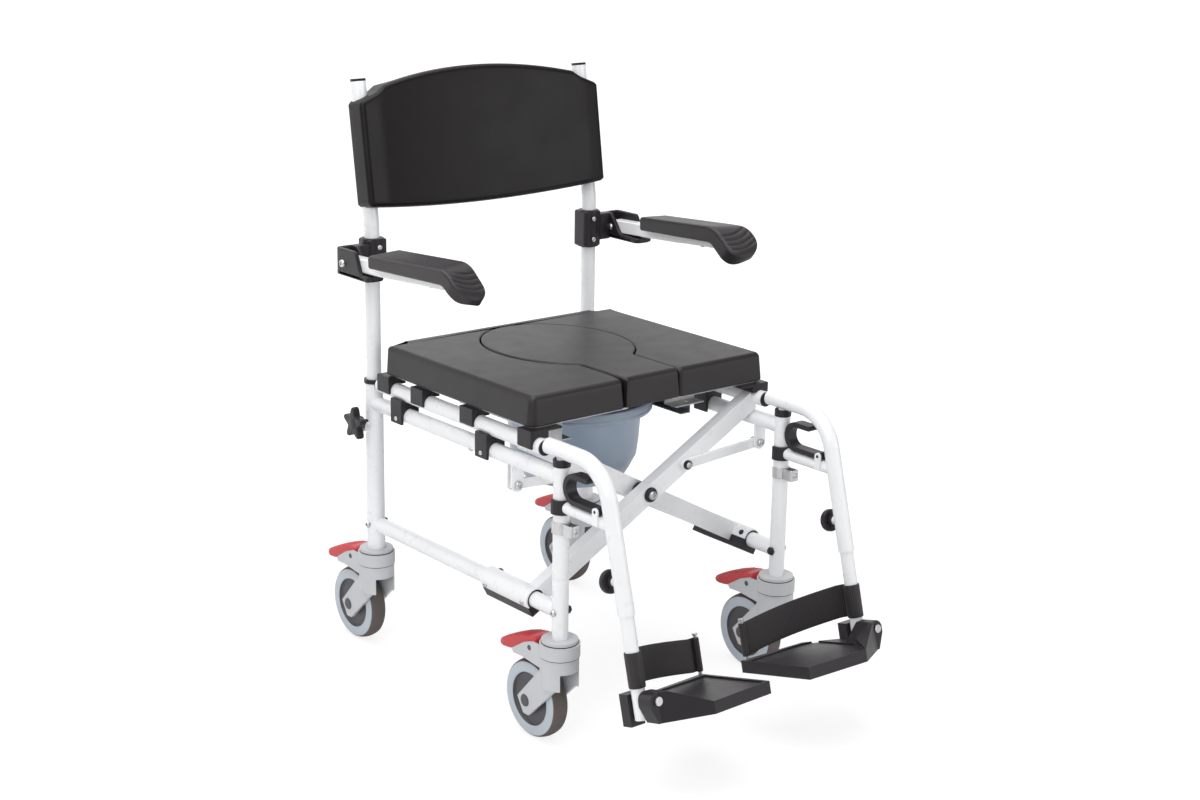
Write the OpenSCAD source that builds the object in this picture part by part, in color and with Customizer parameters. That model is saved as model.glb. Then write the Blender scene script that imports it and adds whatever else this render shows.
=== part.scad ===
// Shower commode chair: a folding tube frame on four braked castors, with a moulded seat and
// backrest, flip-up armrests and swing-away footrests. Millimetres, +Z up, floor at z = 0.
// The chair faces -Y and +X is the occupant's left. Pieces are drawn on the right side (-X)
// and mirrored to the left.

/* [Frame] */
// Distance between the left and right leg axes
track = 450; // [430:5:500]
// Distance between the front and rear leg axes
wheel_base = 500; // [490:5:540]
// Wall of the frame tubes
tube_wall = 2; // [1.5:0.25:2.5]
// Outside diameter of the rear legs
rear_leg_d = 30; // [29:0.5:32]
// Outside diameter of the front legs
front_leg_d = 25; // [24:0.5:27]
// Height of the top edge of the rear legs
rear_leg_top = 464; // [455:1:468]
// Height of the top edge of the front legs
front_leg_top = 447; // [445:1:450]
// Outside diameter of the side rails, seat rails and footrest hangers
rail_d = 25; // [22:0.5:26]
// Height of the upper side rail's axis
side_rail_z = 430; // [424:1:432]
// Height of the seat rail's axis
seat_rail_z = 465; // [463:1:472]
// Height of the lower side rail's axis
lower_rail_z = 220; // [214:1:240]
// Gap between a seat rail's front plug and the footrest hanger behind the leg
seat_rail_gap = 7; // [4:0.5:12]
// Length of a rail saddle along the rail
saddle_len = 32; // [24:1:40]
// Wall of a rail saddle beside the tubes
saddle_wall = 5; // [3:0.5:6]

/* [Cross brace] */
// Height of the brace tube's section
brace_h = 30; // [24:1:32]
// Thickness of the brace tube's section along Y
brace_t = 20; // [16:1:22]
// Share of the wheel base from the leg mid plane forward to the front brace's middle
brace_front_share = 0.36; // [0.352:0.002:0.368]
// Gap between the two braces, filled by the pivot spacer
brace_gap = 10; // [6:1:12]
// Diameter of the centre pivot bolt
pivot_d = 10; // [8:0.5:12]
// Length of the bearing sleeve on the lower rail
sleeve_len = 118; // [90:1:120]
// Width of a fold link
link_w = 16; // [14:1:18]
// Thickness of a fold link
link_t = 6; // [4:0.5:7]
// Drop of the link pivot below the side rail's axis
link_drop = 40; // [38:1:44]

/* [Back] */
// Height where the back posts start to lean
post_bend_z = 716; // [714:1:730]
// Backward lean of the upper posts in degrees
post_lean = 8.5; // [4:0.5:12]
// Radius of the bend in the posts
post_bend_r = 160; // [100:5:200]
// Length of the leaning part of a post
post_upper_len = 216; // [210:1:240]
// Distance from the post axis to the backrest's side edge
panel_margin = 16.5; // [16.5:0.5:19]
// Distance of the backrest's middle plane ahead of the posts' axis
panel_ahead = 7.5; // [4:0.5:8]
// Height of the backrest at its middle
panel_h = 226; // [200:1:236]
// Thickness of the backrest's sides, round the posts
panel_side_t = 46; // [40:1:52]
// Thickness of the backrest between the posts
panel_mid_t = 24; // [18:1:30]
// Depth of the backrest's hollow front
panel_hollow = 16; // [8:1:20]
// Rise of the arched top edge
panel_arch = 24; // [10:1:40]
// Distance from the bend to the backrest's lower edge
panel_lift = 4; // [2:1:10]

/* [Armrests] */
// Height of the armrest pivot
arm_pivot_z = 675; // [670:1:684]
// Angle by which the armrest rises towards its nose
arm_rise = 2.5; // [0:0.5:4]
// Distance of the armrest bar's middle plane outside the post axis
arm_out = 51; // [49:1:56]
// Distance of the armrest pivot ahead of the post axis
arm_pivot_ahead = 20; // [14:1:24]
// Height of the post clamp
clamp_h = 62; // [56:1:70]
// Thickness of the armrest bar
bar_t = 20; // [14:1:22]
// Height of the armrest bar
bar_h = 22; // [16:1:24]
// Length of the pad's level part
pad_len = 166; // [140:1:200]
// Width of the pad
pad_w = 62; // [54:1:62]
// Thickness of the pad
pad_t = 26; // [20:1:30]
// Reach of the drooping nose ahead of the level part
pad_nose = 67; // [50:1:80]
// Drop of the drooping nose
pad_drop = 30; // [20:1:36]

/* [Seat] */
// Width of the seat
seat_w = 474; // [460:1:490]
// Depth of the seat
seat_d = 405; // [380:1:410]
// Thickness of the seat
seat_t = 46; // [40:1:56]
// Distance from the rear leg axis forward to the seat's rear edge
seat_rear_gap = 37; // [34:1:42]
// Wall of the moulded seat
seat_wall = 13; // [10:1:16]
// Corner radius of the seat in plan
seat_corner_r = 14; // [10:1:24]
// Half width of the oval part of the keyhole opening
hole_r = 116; // [104:1:118]
// Half length of the oval part of the keyhole opening
hole_half_len = 143; // [130:1:146]
// Distance from the opening to the seat's rear edge
hole_margin = 21; // [18:1:30]
// Half width of the opening's neck
neck_half = 55; // [46:1:60]
// Gap round the seat insert
insert_gap = 1.5; // [1:0.25:3]
// Thickness of the base plate under the seat
base_t = 3; // [2:0.5:4]
// Length of a rail clip
clip_len = 34; // [26:1:40]
// Wall of a rail clip
clip_wall = 4; // [3:0.5:5]

/* [Pan] */
// Radius of the pan's flange
pan_rim_r = 128; // [118:1:132]
// Radius of the pan's body under the flange
pan_body_r = 110; // [100:1:112]
// Radius of the pan's bottom
pan_bottom_r = 82; // [70:1:95]
// Depth of the pan below its flange
pan_depth = 115; // [90:1:120]
// Wall of the pan
pan_wall = 3; // [2:0.5:4]
// Height of the ledge that carries the pan's flange
pan_ledge_z = 442; // [438:1:444]

/* [Footrests] */
// Lean of the footrest tube from vertical in degrees
hanger_lean = 15; // [10:1:20]
// Height of the hanger's level tube
hanger_z = 471; // [470:1:474]
// Radius of the hanger's bend
hanger_bend_r = 70; // [50:5:80]
// Distance from the leg axis to the corner of the hanger's bend
hanger_reach = 97; // [92:1:110]
// Length of the level tube behind the leg axis
hanger_tail = 31; // [24:1:31]
// Height of the lower stub tube
stub_z = 387; // [380:1:392]
// Outside diameter of the stub tube
stub_d = 20; // [18:0.5:22]
// Height of the footplate hinge
foot_hinge_z = 144; // [140:1:170]
// Distance from the footplate hinge up the tube to the hanger's end
hanger_end = 122; // [112:1:130]
// Drop of the footplate's top below its hinge
foot_drop = 14; // [13:0.5:18]
// Thickness of the footplate
foot_t = 19; // [15:1:22]
// Depth of the footplate, front to back
foot_depth = 151; // [130:1:155]
// Distance of the footplate's inner edge from the chair's middle
foot_inner = 41; // [30:1:60]
// Depth of the recess in the footplate's top
foot_recess = 2.5; // [1:0.5:4]
// Diameter of the heel strap pin
heel_pin_d = 6; // [5:0.5:8]
// Length of the heel strap pin above the footplate
heel_pin_len = 62; // [55:1:70]
// Width of the heel strap
strap_w = 52; // [40:1:54]
// Thickness of the heel strap
strap_t = 2; // [1.5:0.25:2.5]
// Rearward bow of the heel strap
strap_bow = 16; // [8:1:24]

/* [Castors] */
// Diameter of the castor wheels
wheel_d = 125; // [118:1:126]
// Width of the castor wheels
wheel_w = 32; // [28:1:32]
// Trail of the wheel axle behind the swivel axis
trail = 55; // [48:1:56]
// Height of the top of the swivel collar
collar_top = 177; // [176:1:182]
// Diameter of the swivel collar
collar_d = 62; // [58:1:66]
// Height of the swivel collar
collar_h = 27; // [20:1:27]
// Thickness of the fork cheeks
cheek_t = 6; // [5:0.5:7]
// Diameter of the wheel axle
axle_d = 12; // [10:0.5:14]
// Reach of the brake pedal behind the swivel axis
pedal_reach = 131; // [124:1:134]
// Width of the brake pedal
pedal_w = 40; // [32:1:42]

/* [Fits] */
// Radial clearance of a shaft in its bore
run_clear = 0.05; // [0.02:0.01:0.09]
// Clearance between pieces that move past each other
move_clear = 0.3; // [0.3:0.1:0.5]
// Gap between a coped tube end and the tube it is welded to
cope_gap = 0.1; // [0.05:0.05:0.2]
// Radial clearance between a back post's size and the rear leg's bore
post_clear = 0.5; // [0.3:0.1:0.8]

/* [Hidden] */
$fn = 48;
arc_fn = 360;
eps = 1;
seam = 0.02;
half_track = track / 2;

// The box of the whole chair is centred on the origin in plan
foot_front_local = foot_depth * 0.5 + 7;
hanger_corner_y = -wheel_base / 2 - hanger_reach;
foot_hinge_y = hanger_corner_y - (hanger_z - foot_hinge_z) * tan(hanger_lean);
chair_front = foot_hinge_y - foot_front_local * cos(hanger_lean) - (foot_drop + foot_t) * sin(hanger_lean);
chair_rear = wheel_base / 2 + pedal_reach;
mid_y = -(chair_front + chair_rear) / 2;
front_y = mid_y - wheel_base / 2;
rear_y = mid_y + wheel_base / 2;

// Legs
leg_seat_z = collar_top - 6;
rear_bore_d = rear_leg_d - 2 * tube_wall;
front_bore_d = front_leg_d - 2 * tube_wall;
post_d = rear_bore_d - 2 * post_clear;
leg_bolt_d = 6;
knob_screw_d = 8;
knob_boss_d = 17;
knob_boss_len = 9;
knob_z = rear_leg_top - 72;
spigot_d = 14;
spigot_len = 18;

// Cross brace: the scissor runs from each lower rail to the opposite seat rail
brace_rise = seat_rail_z - lower_rail_z;
brace_len = norm([track, brace_rise]);
brace_angle = atan2(brace_rise, track);
brace_mid_z = (seat_rail_z + lower_rail_z) / 2;
brace_front_y = mid_y - brace_front_share * wheel_base;
brace_rear_y = brace_front_y + brace_t + brace_gap;
sleeve_front_y = brace_front_y - brace_t / 2;
bearing_d = rail_d + 6;
shell_d = bearing_d + 5;
shell_skirt = 4;
brace_end_gap = 9;
link_pivot_z = side_rail_z - link_drop;
link_share = 0.345;
link_brace_x = half_track * (1 - 2 * link_share);
link_brace_z = seat_rail_z - link_share * brace_rise;
link_bolt_d = 8;
cheek_plate_t = 4;
link_front_y = brace_front_y - brace_t / 2 - move_clear - link_t / 2;
link_rear_y = brace_rear_y + brace_t / 2 + move_clear + link_t / 2;

// Seat rails and what sits on them
plug_t = 3;
seat_rail_rear_y = rear_y - rear_leg_d / 2 - plug_t - 4;
seat_rail_front_y = front_y + hanger_tail + seat_rail_gap + plug_t;
saddle_ys = [for (share = [0.32, -0.144]) mid_y + share * wheel_base];
clip_ys = [for (share = [0.396, 0.204, -0.064, -0.36]) mid_y + share * wheel_base];
base_top_z = seat_rail_z + rail_d / 2 + 14.5;
seat_bottom_z = base_top_z;
seat_top_z = seat_bottom_z + seat_t;
seat_rear_y = rear_y - seat_rear_gap;
seat_front_y = seat_rear_y - seat_d;
clip_lip = 10;
clip_flange = 42;
notch_x = 37;
notch_y = 14;
hole_y = seat_rear_y - hole_margin - hole_half_len;
ledge_inset = 10;

// Pan
pan_y = mid_y + 4;
pan_rim_h = 20;
pan_clear = 3;
pan_turn = (pan_body_r - pan_bottom_r) * 0.75;
tab_hole_d = 8;

// Back
post_lean_y = rear_y + post_bend_r * (1 - cos(post_lean));
post_lean_z = post_bend_z + post_bend_r * sin(post_lean);
panel_w = track + 2 * panel_margin;
shoulder_w = 42;
shoulder_drop = 16;
panel_bottom_rise = 12;

// Armrests
arm_x = -half_track - arm_out;
arm_pivot_y = rear_y - arm_pivot_ahead;
arm_bolt_d = 8;
clamp_half_x = 21;
clamp_half_y = 19;
clamp_mid_z = arm_pivot_z - 1;
cheek_w = 7;
bracket_h = 44;
pad_rear_y = arm_pivot_y - 94;
pad_bottom_z = arm_pivot_z + 5;

// Footrests, drawn in a frame on the footplate hinge whose +Z runs up the tube
foot_y = mid_y + foot_hinge_y;
foot_tube_d = rail_d - 2 * tube_wall - 2 * run_clear;
foot_tube_up = 215;
foot_tube_down = 30;
foot_bolt_d = 8;
foot_head_d = 13;
foot_x_inner = half_track - foot_inner;
foot_rear = foot_depth - foot_front_local + 7;
hinge_block_rear = -foot_tube_d / 2 - 2.5;
hinge_block_front = hinge_block_rear - 28;
heel_pin_pos = [foot_x_inner - 7, foot_rear - 6];
strap_low_pin = -8;
strap_low_tube = 17;
pin_d = 16;
bush_flange_d = 27;
lever_w = 20;
lever_t = 8;
lever_hub = [front_y - 93, stub_z + stub_d / 2 + 7];
knob_up = 171;

// Castors
stem_len = 28;
stem_rear_d = rear_bore_d - 2 * run_clear;
stem_front_d = front_bore_d - 2 * run_clear;
wheel_r = wheel_d / 2;
cheek_in = wheel_w / 2 + 1.5;
crown_z = wheel_d + 3;
skirt_z = crown_z - 27;
pedal_pin = [44, 153];
pedal_pin_d = 6;
lug_t = 4;

FRAME_WHITE = [0.95, 0.95, 0.95];
PLASTIC_BLACK = [0.2, 0.19, 0.2];
SEAT_BLACK = [0.24, 0.23, 0.24];
STEEL = [0.72, 0.72, 0.72];
PAN_BLUE = [0.53, 0.61, 0.69];
CASTOR_GREY = [0.64, 0.65, 0.66];
TYRE_GREY = [0.36, 0.34, 0.33];
PEDAL_RED = [0.78, 0.22, 0.24];

// Shared shapes

module on_left() mirror([1, 0, 0]) children();

module rod(from, to, d) {
    run = to - from;
    flat = norm([run.x, run.y]);
    translate(from) rotate([0, atan2(flat, run.z), atan2(run.y, run.x)]) cylinder(h = norm(run), d = d);
}

module bar_x(x0, x1, y, z, d) translate([x0, y, z]) rotate([0, 90, 0]) cylinder(h = x1 - x0, d = d);

module bar_y(x, y0, y1, z, d) translate([x, y1, z]) rotate([90, 0, 0]) cylinder(h = y1 - y0, d = d);

module tube_z(x, y, z0, z1, d, bore) translate([x, y, z0]) difference() {
    cylinder(h = z1 - z0, d = d);
    translate([0, 0, -eps]) cylinder(h = z1 - z0 + 2 * eps, d = bore);
}

module block(x0, x1, y0, y1, z0, z1) translate([x0, y0, z0]) cube([x1 - x0, y1 - y0, z1 - z0]);

// Rectangle with round corners, from its lower left corner
module round_rect(w, h, r) {
    translate([r, 0]) square([w - 2 * r, h]);
    translate([0, r]) square([w, h - 2 * r]);
    for (x = [r, w - r], y = [r, h - r]) translate([x, y]) circle(r);
}

// A profile in the YZ plane, extruded along X from x0 to x1
module extrude_x(x0, x1) translate([x0, 0, 0]) rotate([90, 0, 90]) linear_extrude(x1 - x0) children();

// A profile in the XZ plane, extruded along Y from y0 to y1
module extrude_y(y0, y1) translate([0, y1, 0]) rotate([90, 0, 0]) linear_extrude(y1 - y0) children();

// Side frames

module rear_leg() color(FRAME_WHITE) difference() {
    union() {
        translate([-half_track, rear_y, leg_seat_z]) cylinder(h = rear_leg_top - leg_seat_z, d = rear_leg_d);
        bar_x(-half_track - rear_leg_d / 2 - knob_boss_len, -half_track, rear_y, knob_z, knob_boss_d);
    }
    translate([-half_track, rear_y, leg_seat_z - eps])
        cylinder(h = rear_leg_top - leg_seat_z + 2 * eps, d = rear_bore_d);
    bar_x(-half_track - rear_leg_d, -half_track, rear_y, knob_z, knob_screw_d);
    leg_bolt_hole(rear_y, rear_leg_d);
}

module leg_bolt_hole(y, leg_d) bar_x(-half_track - leg_d, -half_track + leg_d, y, lower_rail_z, leg_bolt_d);

module front_leg() color(FRAME_WHITE) difference() {
    tube_z(-half_track, front_y, leg_seat_z, front_leg_top, front_leg_d, front_bore_d);
    leg_bolt_hole(front_y, front_leg_d);
}

// A rail between the legs with its ends coped to them
module coped_rail(z) difference() {
    bar_y(-half_track, front_y, rear_y, z, rail_d);
    bar_y(-half_track, front_y - eps, rear_y + eps, z, rail_d - 2 * tube_wall);
    cope_cut(rear_y, rear_leg_d);
    cope_cut(front_y, front_leg_d);
}

module cope_cut(y, leg_d) translate([-half_track, y, 0]) cylinder(h = rear_leg_top, d = leg_d + 2 * cope_gap);

// A plate that hangs from the side rail and carries a fold link's pivot
module link_plate(y) difference() {
    extrude_y(y - cheek_plate_t / 2, y + cheek_plate_t / 2) {
        translate([-half_track, link_pivot_z]) circle(d = link_w + 6);
        translate([-half_track - link_w / 2 - 3, link_pivot_z]) square([link_w + 6, link_drop]);
    }
    bar_y(-half_track, y - eps - cheek_plate_t, y + eps + cheek_plate_t, link_pivot_z, link_bolt_d);
    bar_y(-half_track, front_y, rear_y, side_rail_z, rail_d - tube_wall);
    block(-half_track - rail_d, -half_track + rail_d, y - rail_d, y + rail_d, side_rail_z, side_rail_z + rail_d);
}

module side_rail_right() color(FRAME_WHITE) {
    coped_rail(side_rail_z);
    for (s = [-1, 1]) link_plate(link_rear_y + s * (link_t / 2 + move_clear + cheek_plate_t / 2));
}

module side_rail_left() color(FRAME_WHITE) on_left() {
    coped_rail(side_rail_z);
    link_plate(link_front_y - link_t / 2 - move_clear - cheek_plate_t / 2);
}

module lower_rail() color(FRAME_WHITE) coped_rail(lower_rail_z);

// Black blocks that sit on the side rail and cradle the seat rail from below
module rail_saddles() color(PLASTIC_BLACK) for (y = saddle_ys) difference() {
    block(-half_track - rail_d / 2 - saddle_wall, -half_track + rail_d / 2 + saddle_wall,
        y - saddle_len / 2, y + saddle_len / 2, side_rail_z - rail_d / 2, seat_rail_z - 7);
    bar_y(-half_track, y - saddle_len, y + saddle_len, side_rail_z, rail_d + 2 * cope_gap);
    bar_y(-half_track, y - saddle_len, y + saddle_len, seat_rail_z, rail_d + 2 * move_clear);
    block(-half_track - rail_d / 2 - cope_gap, -half_track + rail_d / 2 + cope_gap,
        y - saddle_len, y + saddle_len, side_rail_z - rail_d, side_rail_z);
}

// Cross bolts through the legs, the stop bolt and the steel catch plate of the footrest
module frame_bolts() color(STEEL) {
    leg_bolt(rear_y, rear_leg_d);
    leg_bolt(front_y, front_leg_d);
    catch_plate();
}

module leg_bolt(y, leg_d) {
    bar_x(-half_track - leg_d / 2 - 4.5, -half_track - leg_d / 2 - cope_gap, y, lower_rail_z, 11);
    bar_x(-half_track - leg_d / 2 - 2, -half_track + leg_d / 2 + 2, y, lower_rail_z, leg_bolt_d - 2 * run_clear);
    bar_x(-half_track + leg_d / 2 + cope_gap, -half_track + leg_d / 2 + 7, y, lower_rail_z, 14);
}

module catch_plate() {
    plate_z = stub_z - stub_d / 2 - 32;
    plate_h = 18;
    band_d = front_leg_d + 5;
    translate([-half_track, front_y, plate_z]) difference() {
        union() {
            cylinder(h = plate_h, d = band_d);
            translate([-9, -34, 0]) cube([3, 26, plate_h]);
            translate([6, -34, 0]) cube([3, 26, plate_h]);
            translate([-9, -34, 0]) cube([18, 3, plate_h]);
        }
        translate([0, 0, -eps]) cylinder(h = plate_h + 2 * eps, d = front_leg_d + 2 * cope_gap);
        translate([-band_d, front_leg_d / 4, -eps]) cube([2 * band_d, band_d, plate_h + 2 * eps]);
    }
}

// Five-lobed hand knob whose screw runs into the rear leg
module star_knob() color(PLASTIC_BLACK) {
    knob_x = -half_track - rear_leg_d / 2 - knob_boss_len - move_clear;
    lobes = 5;
    bar_x(knob_x - 8, knob_x, rear_y, knob_z, 22);
    bar_x(knob_x - 20, knob_x - 7, rear_y, knob_z, 34);
    for (i = [0 : lobes - 1])
        bar_x(knob_x - 20, knob_x - 7, rear_y + 20 * sin(i * 360 / lobes), knob_z + 20 * cos(i * 360 / lobes), 16);
    bar_x(knob_x - 8, -half_track - spigot_d / 2 - 1, rear_y, knob_z, knob_screw_d - 2 * run_clear);
}

// Folding cross brace

// The brace that runs from the right lower rail up to the left seat rail, centred on plane y,
// with the half shell that holds its foot on the bearing
module brace_with_rail(y) difference() {
    union() {
        rotated_brace(y) translate([0, -brace_t / 2, -brace_h / 2]) cube([brace_len - brace_end_gap, brace_t, brace_h]);
        bar_y(-half_track, sleeve_front_y, sleeve_front_y + sleeve_len, lower_rail_z, shell_d);
        bar_y(half_track, seat_rail_front_y, seat_rail_rear_y, seat_rail_z, rail_d);
    }
    rotated_brace(y) translate([shell_d / 2 + 6, -brace_t / 2 + tube_wall, -brace_h / 2 + tube_wall])
        cube([brace_len - shell_d - rail_d, brace_t - 2 * tube_wall, brace_h - 2 * tube_wall]);
    bar_y(-half_track, sleeve_front_y - eps, sleeve_front_y + sleeve_len + eps, lower_rail_z, bearing_d + 2 * cope_gap);
    rotated_brace(y) translate([-shell_d, sleeve_front_y - y - eps, -shell_d - shell_skirt])
        cube([1.5 * shell_d + cope_gap, sleeve_len + 2 * eps, shell_d]);
    bar_y(half_track, seat_rail_front_y - eps, seat_rail_rear_y + eps, seat_rail_z, rail_d - 2 * tube_wall);
    bar_y(0, y - brace_t, y + brace_t, brace_mid_z, pivot_d);
}

module rotated_brace(y) translate([-half_track, y, lower_rail_z]) rotate([0, -brace_angle, 0]) children();

// Bearing block on the lower rail and the two end plugs of the seat rail
module brace_plastics() {
    extrude_y(sleeve_front_y, sleeve_front_y + sleeve_len) translate([-half_track, lower_rail_z]) difference() {
        union() {
            circle(d = bearing_d);
            rotate(brace_angle) translate([-shell_d / 2, -shell_d / 2 - shell_skirt])
                square([shell_d, shell_d / 2 - cope_gap]);
        }
        circle(d = rail_d + 2 * run_clear);
    }
    rail_plug(seat_rail_front_y, -1);
    rail_plug(seat_rail_rear_y, 1);
}

module rail_plug(y, way) {
    bar_y(half_track, min(y, y + way * plug_t), max(y, y + way * plug_t), seat_rail_z, rail_d - 1);
    bar_y(half_track, min(y, y - way * 12), max(y, y - way * 12), seat_rail_z, rail_d - 2 * tube_wall - 2 * cope_gap);
}

module cross_brace_front() color(FRAME_WHITE) brace_with_rail(brace_front_y);

module brace_bearing_front() color(PLASTIC_BLACK) brace_plastics();

module cross_brace_rear() color(FRAME_WHITE) on_left() brace_with_rail(brace_rear_y);

module brace_bearing_rear() color(PLASTIC_BLACK) on_left() brace_plastics();

// Bolt through both braces with a washer in front and a spacer between them
module brace_pivot() color(PLASTIC_BLACK) {
    front_face = brace_front_y - brace_t / 2;
    rear_face = brace_rear_y + brace_t / 2;
    spacer_y = brace_front_y + brace_t / 2;
    bar_y(0, front_face - 9, rear_face + 8, brace_mid_z, pivot_d - 2 * run_clear);
    bar_y(0, front_face - 5, front_face, brace_mid_z, 24);
    bar_y(0, front_face - 10, front_face - 5, brace_mid_z, 15);
    bar_y(0, spacer_y, spacer_y + brace_gap - move_clear, brace_mid_z, 26);
    bar_y(0, rear_face + move_clear, rear_face + 8, brace_mid_z, 18);
}

// Flat bar from the side rail's bracket to the upper half of a brace; lap is the brace side of it
module fold_link(y, lap) {
    pivot = [-half_track, link_pivot_z];
    far = [-link_brace_x, link_brace_z];
    reach = far - pivot;
    washer_y = y - lap * link_t / 2;
    color(FRAME_WHITE) extrude_y(y - link_t / 2, y + link_t / 2) {
        translate(pivot) circle(d = link_w);
        translate(far) circle(d = link_w);
        translate(pivot) rotate(atan2(reach.y, reach.x)) translate([0, -link_w / 2]) square([norm(reach), link_w]);
    }
    color(STEEL) bar_y(pivot.x, y - link_t / 2 - cheek_plate_t - 6, y + link_t / 2 + cheek_plate_t + 6, pivot.y,
        link_bolt_d - 2 * run_clear);
    color(PLASTIC_BLACK) bar_y(far.x, min(washer_y, washer_y - lap * 8), max(washer_y, washer_y - lap * 8), far.y, 15);
}

module fold_link_right() fold_link(link_rear_y, -1);

module fold_link_left() on_left() fold_link(link_front_y, 1);

// Back

module lean_frame() translate([0, post_lean_y, post_lean_z]) rotate([-post_lean, 0, 0]) children();

module post_section() difference() {
    circle(d = post_d);
    circle(d = post_d - 2 * tube_wall);
}

module back_post() {
    foot_z = rear_leg_top + move_clear;
    translate([-half_track, rear_y, foot_z + 20]) linear_extrude(post_bend_z - foot_z - 20) post_section();
    translate([-half_track, rear_y, foot_z]) cylinder(h = 20, d = post_d);
    translate([-half_track, rear_y, foot_z - spigot_len]) cylinder(h = spigot_len, d = spigot_d);
    translate([-half_track, rear_y + post_bend_r, post_bend_z]) rotate([90, 0, -90])
        rotate_extrude(angle = post_lean) translate([post_bend_r, 0]) post_section();
    lean_frame() translate([-half_track, 0, 0]) linear_extrude(post_upper_len) post_section();
    lean_frame() translate([-half_track, 0, 0]) sphere(d = post_d - tube_wall);
    translate([-half_track, rear_y, post_bend_z]) sphere(d = post_d - tube_wall);
}

module back_posts() color(FRAME_WHITE) {
    back_post();
    on_left() back_post();
}

// Outline of the backrest seen from the front: arched top, sloped shoulders and a bowed lower edge
module panel_outline() {
    arch_half = panel_w / 2 - shoulder_w;
    arch_r = (arch_half * arch_half + panel_arch * panel_arch) / (2 * panel_arch);
    half = panel_w / 2;
    bow_r = (half * half + panel_bottom_rise * panel_bottom_rise) / (2 * panel_bottom_rise);
    shoulder_z = panel_h - panel_arch - 6;
    difference() {
        intersection() {
            translate([-half, 0]) round_rect(panel_w, panel_h, 8);
            translate([0, panel_h - arch_r]) circle(arch_r, $fn = arc_fn);
            translate([0, bow_r]) circle(bow_r, $fn = arc_fn);
        }
        for (s = [-1, 1]) polygon([
            [s * arch_half, panel_h + eps], [s * arch_half, shoulder_z],
            [s * (half + eps), shoulder_z - shoulder_drop], [s * (half + eps), panel_h + eps]
        ]);
    }
}

// Section of the backrest seen along the posts: thick sides and a hollowed, curved middle
module panel_plan() {
    side_in = panel_w / 2 - half_track + post_d / 2 + 6;
    span = half_track - side_in / 2;
    curve_r = (span * span + panel_hollow * panel_hollow) / (2 * panel_hollow);
    front = -panel_ahead - panel_side_t / 2;
    curve_y = panel_hollow + front - curve_r;
    for (s = [-1, 1]) translate([s > 0 ? panel_w / 2 - 2 * side_in : -panel_w / 2, front])
        round_rect(2 * side_in, panel_side_t, 9);
    intersection() {
        translate([-span, -panel_side_t]) square([2 * span, 2 * panel_side_t]);
        translate([0, curve_y]) difference() {
            circle(curve_r + panel_mid_t, $fn = arc_fn);
            circle(curve_r, $fn = arc_fn);
        }
    }
}

module backrest_panel() color(SEAT_BLACK) lean_frame() difference() {
    intersection() {
        translate([0, 0, panel_lift]) extrude_y(-panel_side_t, panel_side_t) panel_outline();
        translate([0, 0, panel_lift - eps]) linear_extrude(panel_h + 2 * eps) panel_plan();
    }
    for (s = [-1, 1]) translate([s * half_track, 0, 0]) cylinder(h = post_upper_len + panel_h, d = post_d + 2 * cope_gap);
}

// Black collars over the leg tops and dark caps in the post tops
module post_caps() color(PLASTIC_BLACK) for (s = [-1, 1]) {
    tube_z(s * half_track, rear_y, rear_leg_top + move_clear, rear_leg_top + 7, rear_leg_d + 3, post_d + 2 * cope_gap);
    lean_frame() translate([s * half_track, 0, post_upper_len]) {
        cylinder(h = 4, d = post_d);
        translate([0, 0, -14]) cylinder(h = 14, d = post_d - 2 * tube_wall - 2 * cope_gap);
    }
}

// Armrests

// Clamp block round the post with a forked bracket outside it for the armrest bar
module armrest_clamp() {
    cheek_out = arm_x - bar_t / 2 - move_clear - cheek_w;
    cheek_in_x = arm_x + bar_t / 2 + move_clear;
    bracket_z = arm_pivot_z - bracket_h / 2 + 2;
    bracket_front = arm_pivot_y - 50;
    bracket_rear = arm_pivot_y + 22;
    difference() {
        union() {
            translate([-half_track, rear_y, clamp_mid_z - clamp_h / 2]) linear_extrude(clamp_h)
                translate([-clamp_half_x - 9, -clamp_half_y]) round_rect(2 * clamp_half_x + 9, 2 * clamp_half_y, 9);
            block(cheek_out, cheek_out + cheek_w, bracket_front, bracket_rear, bracket_z, bracket_z + bracket_h);
            block(cheek_in_x, cheek_in_x + cheek_w, bracket_front, bracket_rear, bracket_z, bracket_z + bracket_h);
            block(cheek_in_x, -half_track, rear_y - 16, bracket_rear, bracket_z, bracket_z + bracket_h);
            block(cheek_out, cheek_in_x + cheek_w, bracket_rear - cheek_w, bracket_rear, bracket_z, bracket_z + bracket_h);
            block(cheek_out, cheek_in_x + cheek_w, bracket_front - 22, arm_pivot_y, bracket_z,
                arm_pivot_z - bar_h / 2 - move_clear);
        }
        translate([-half_track, rear_y, 0]) cylinder(h = 2 * arm_pivot_z, d = post_d + 2 * cope_gap);
        bar_x(cheek_out - eps, -half_track - post_d / 2 - 4, arm_pivot_y, arm_pivot_z, arm_bolt_d);
        translate([0, arm_pivot_y, arm_pivot_z]) extrude_x(arm_x - bar_t / 2 - move_clear, cheek_in_x)
            circle(r = bar_h / 2 + 3);
    }
}

module armrest_clamps() color(PLASTIC_BLACK) {
    armrest_clamp();
    on_left() armrest_clamp();
}

// Underside of the pad and top of the bar, from the level part down the nose
module bar_profile() {
    nose_y = pad_rear_y - pad_len;
    top = pad_bottom_z - cope_gap;
    translate([arm_pivot_y, arm_pivot_z]) circle(d = bar_h);
    polygon([
        [arm_pivot_y, arm_pivot_z + bar_h / 2], [pad_rear_y + 14, arm_pivot_z + bar_h / 2], [pad_rear_y + 2, top],
        [nose_y, top], [nose_y - pad_nose * 0.55, top - pad_drop], [nose_y - pad_nose * 0.55, top - pad_drop - 4],
        [nose_y + 3, top - 13], [pad_rear_y, arm_pivot_z - bar_h / 2], [arm_pivot_y, arm_pivot_z - bar_h / 2]
    ]);
}

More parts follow.
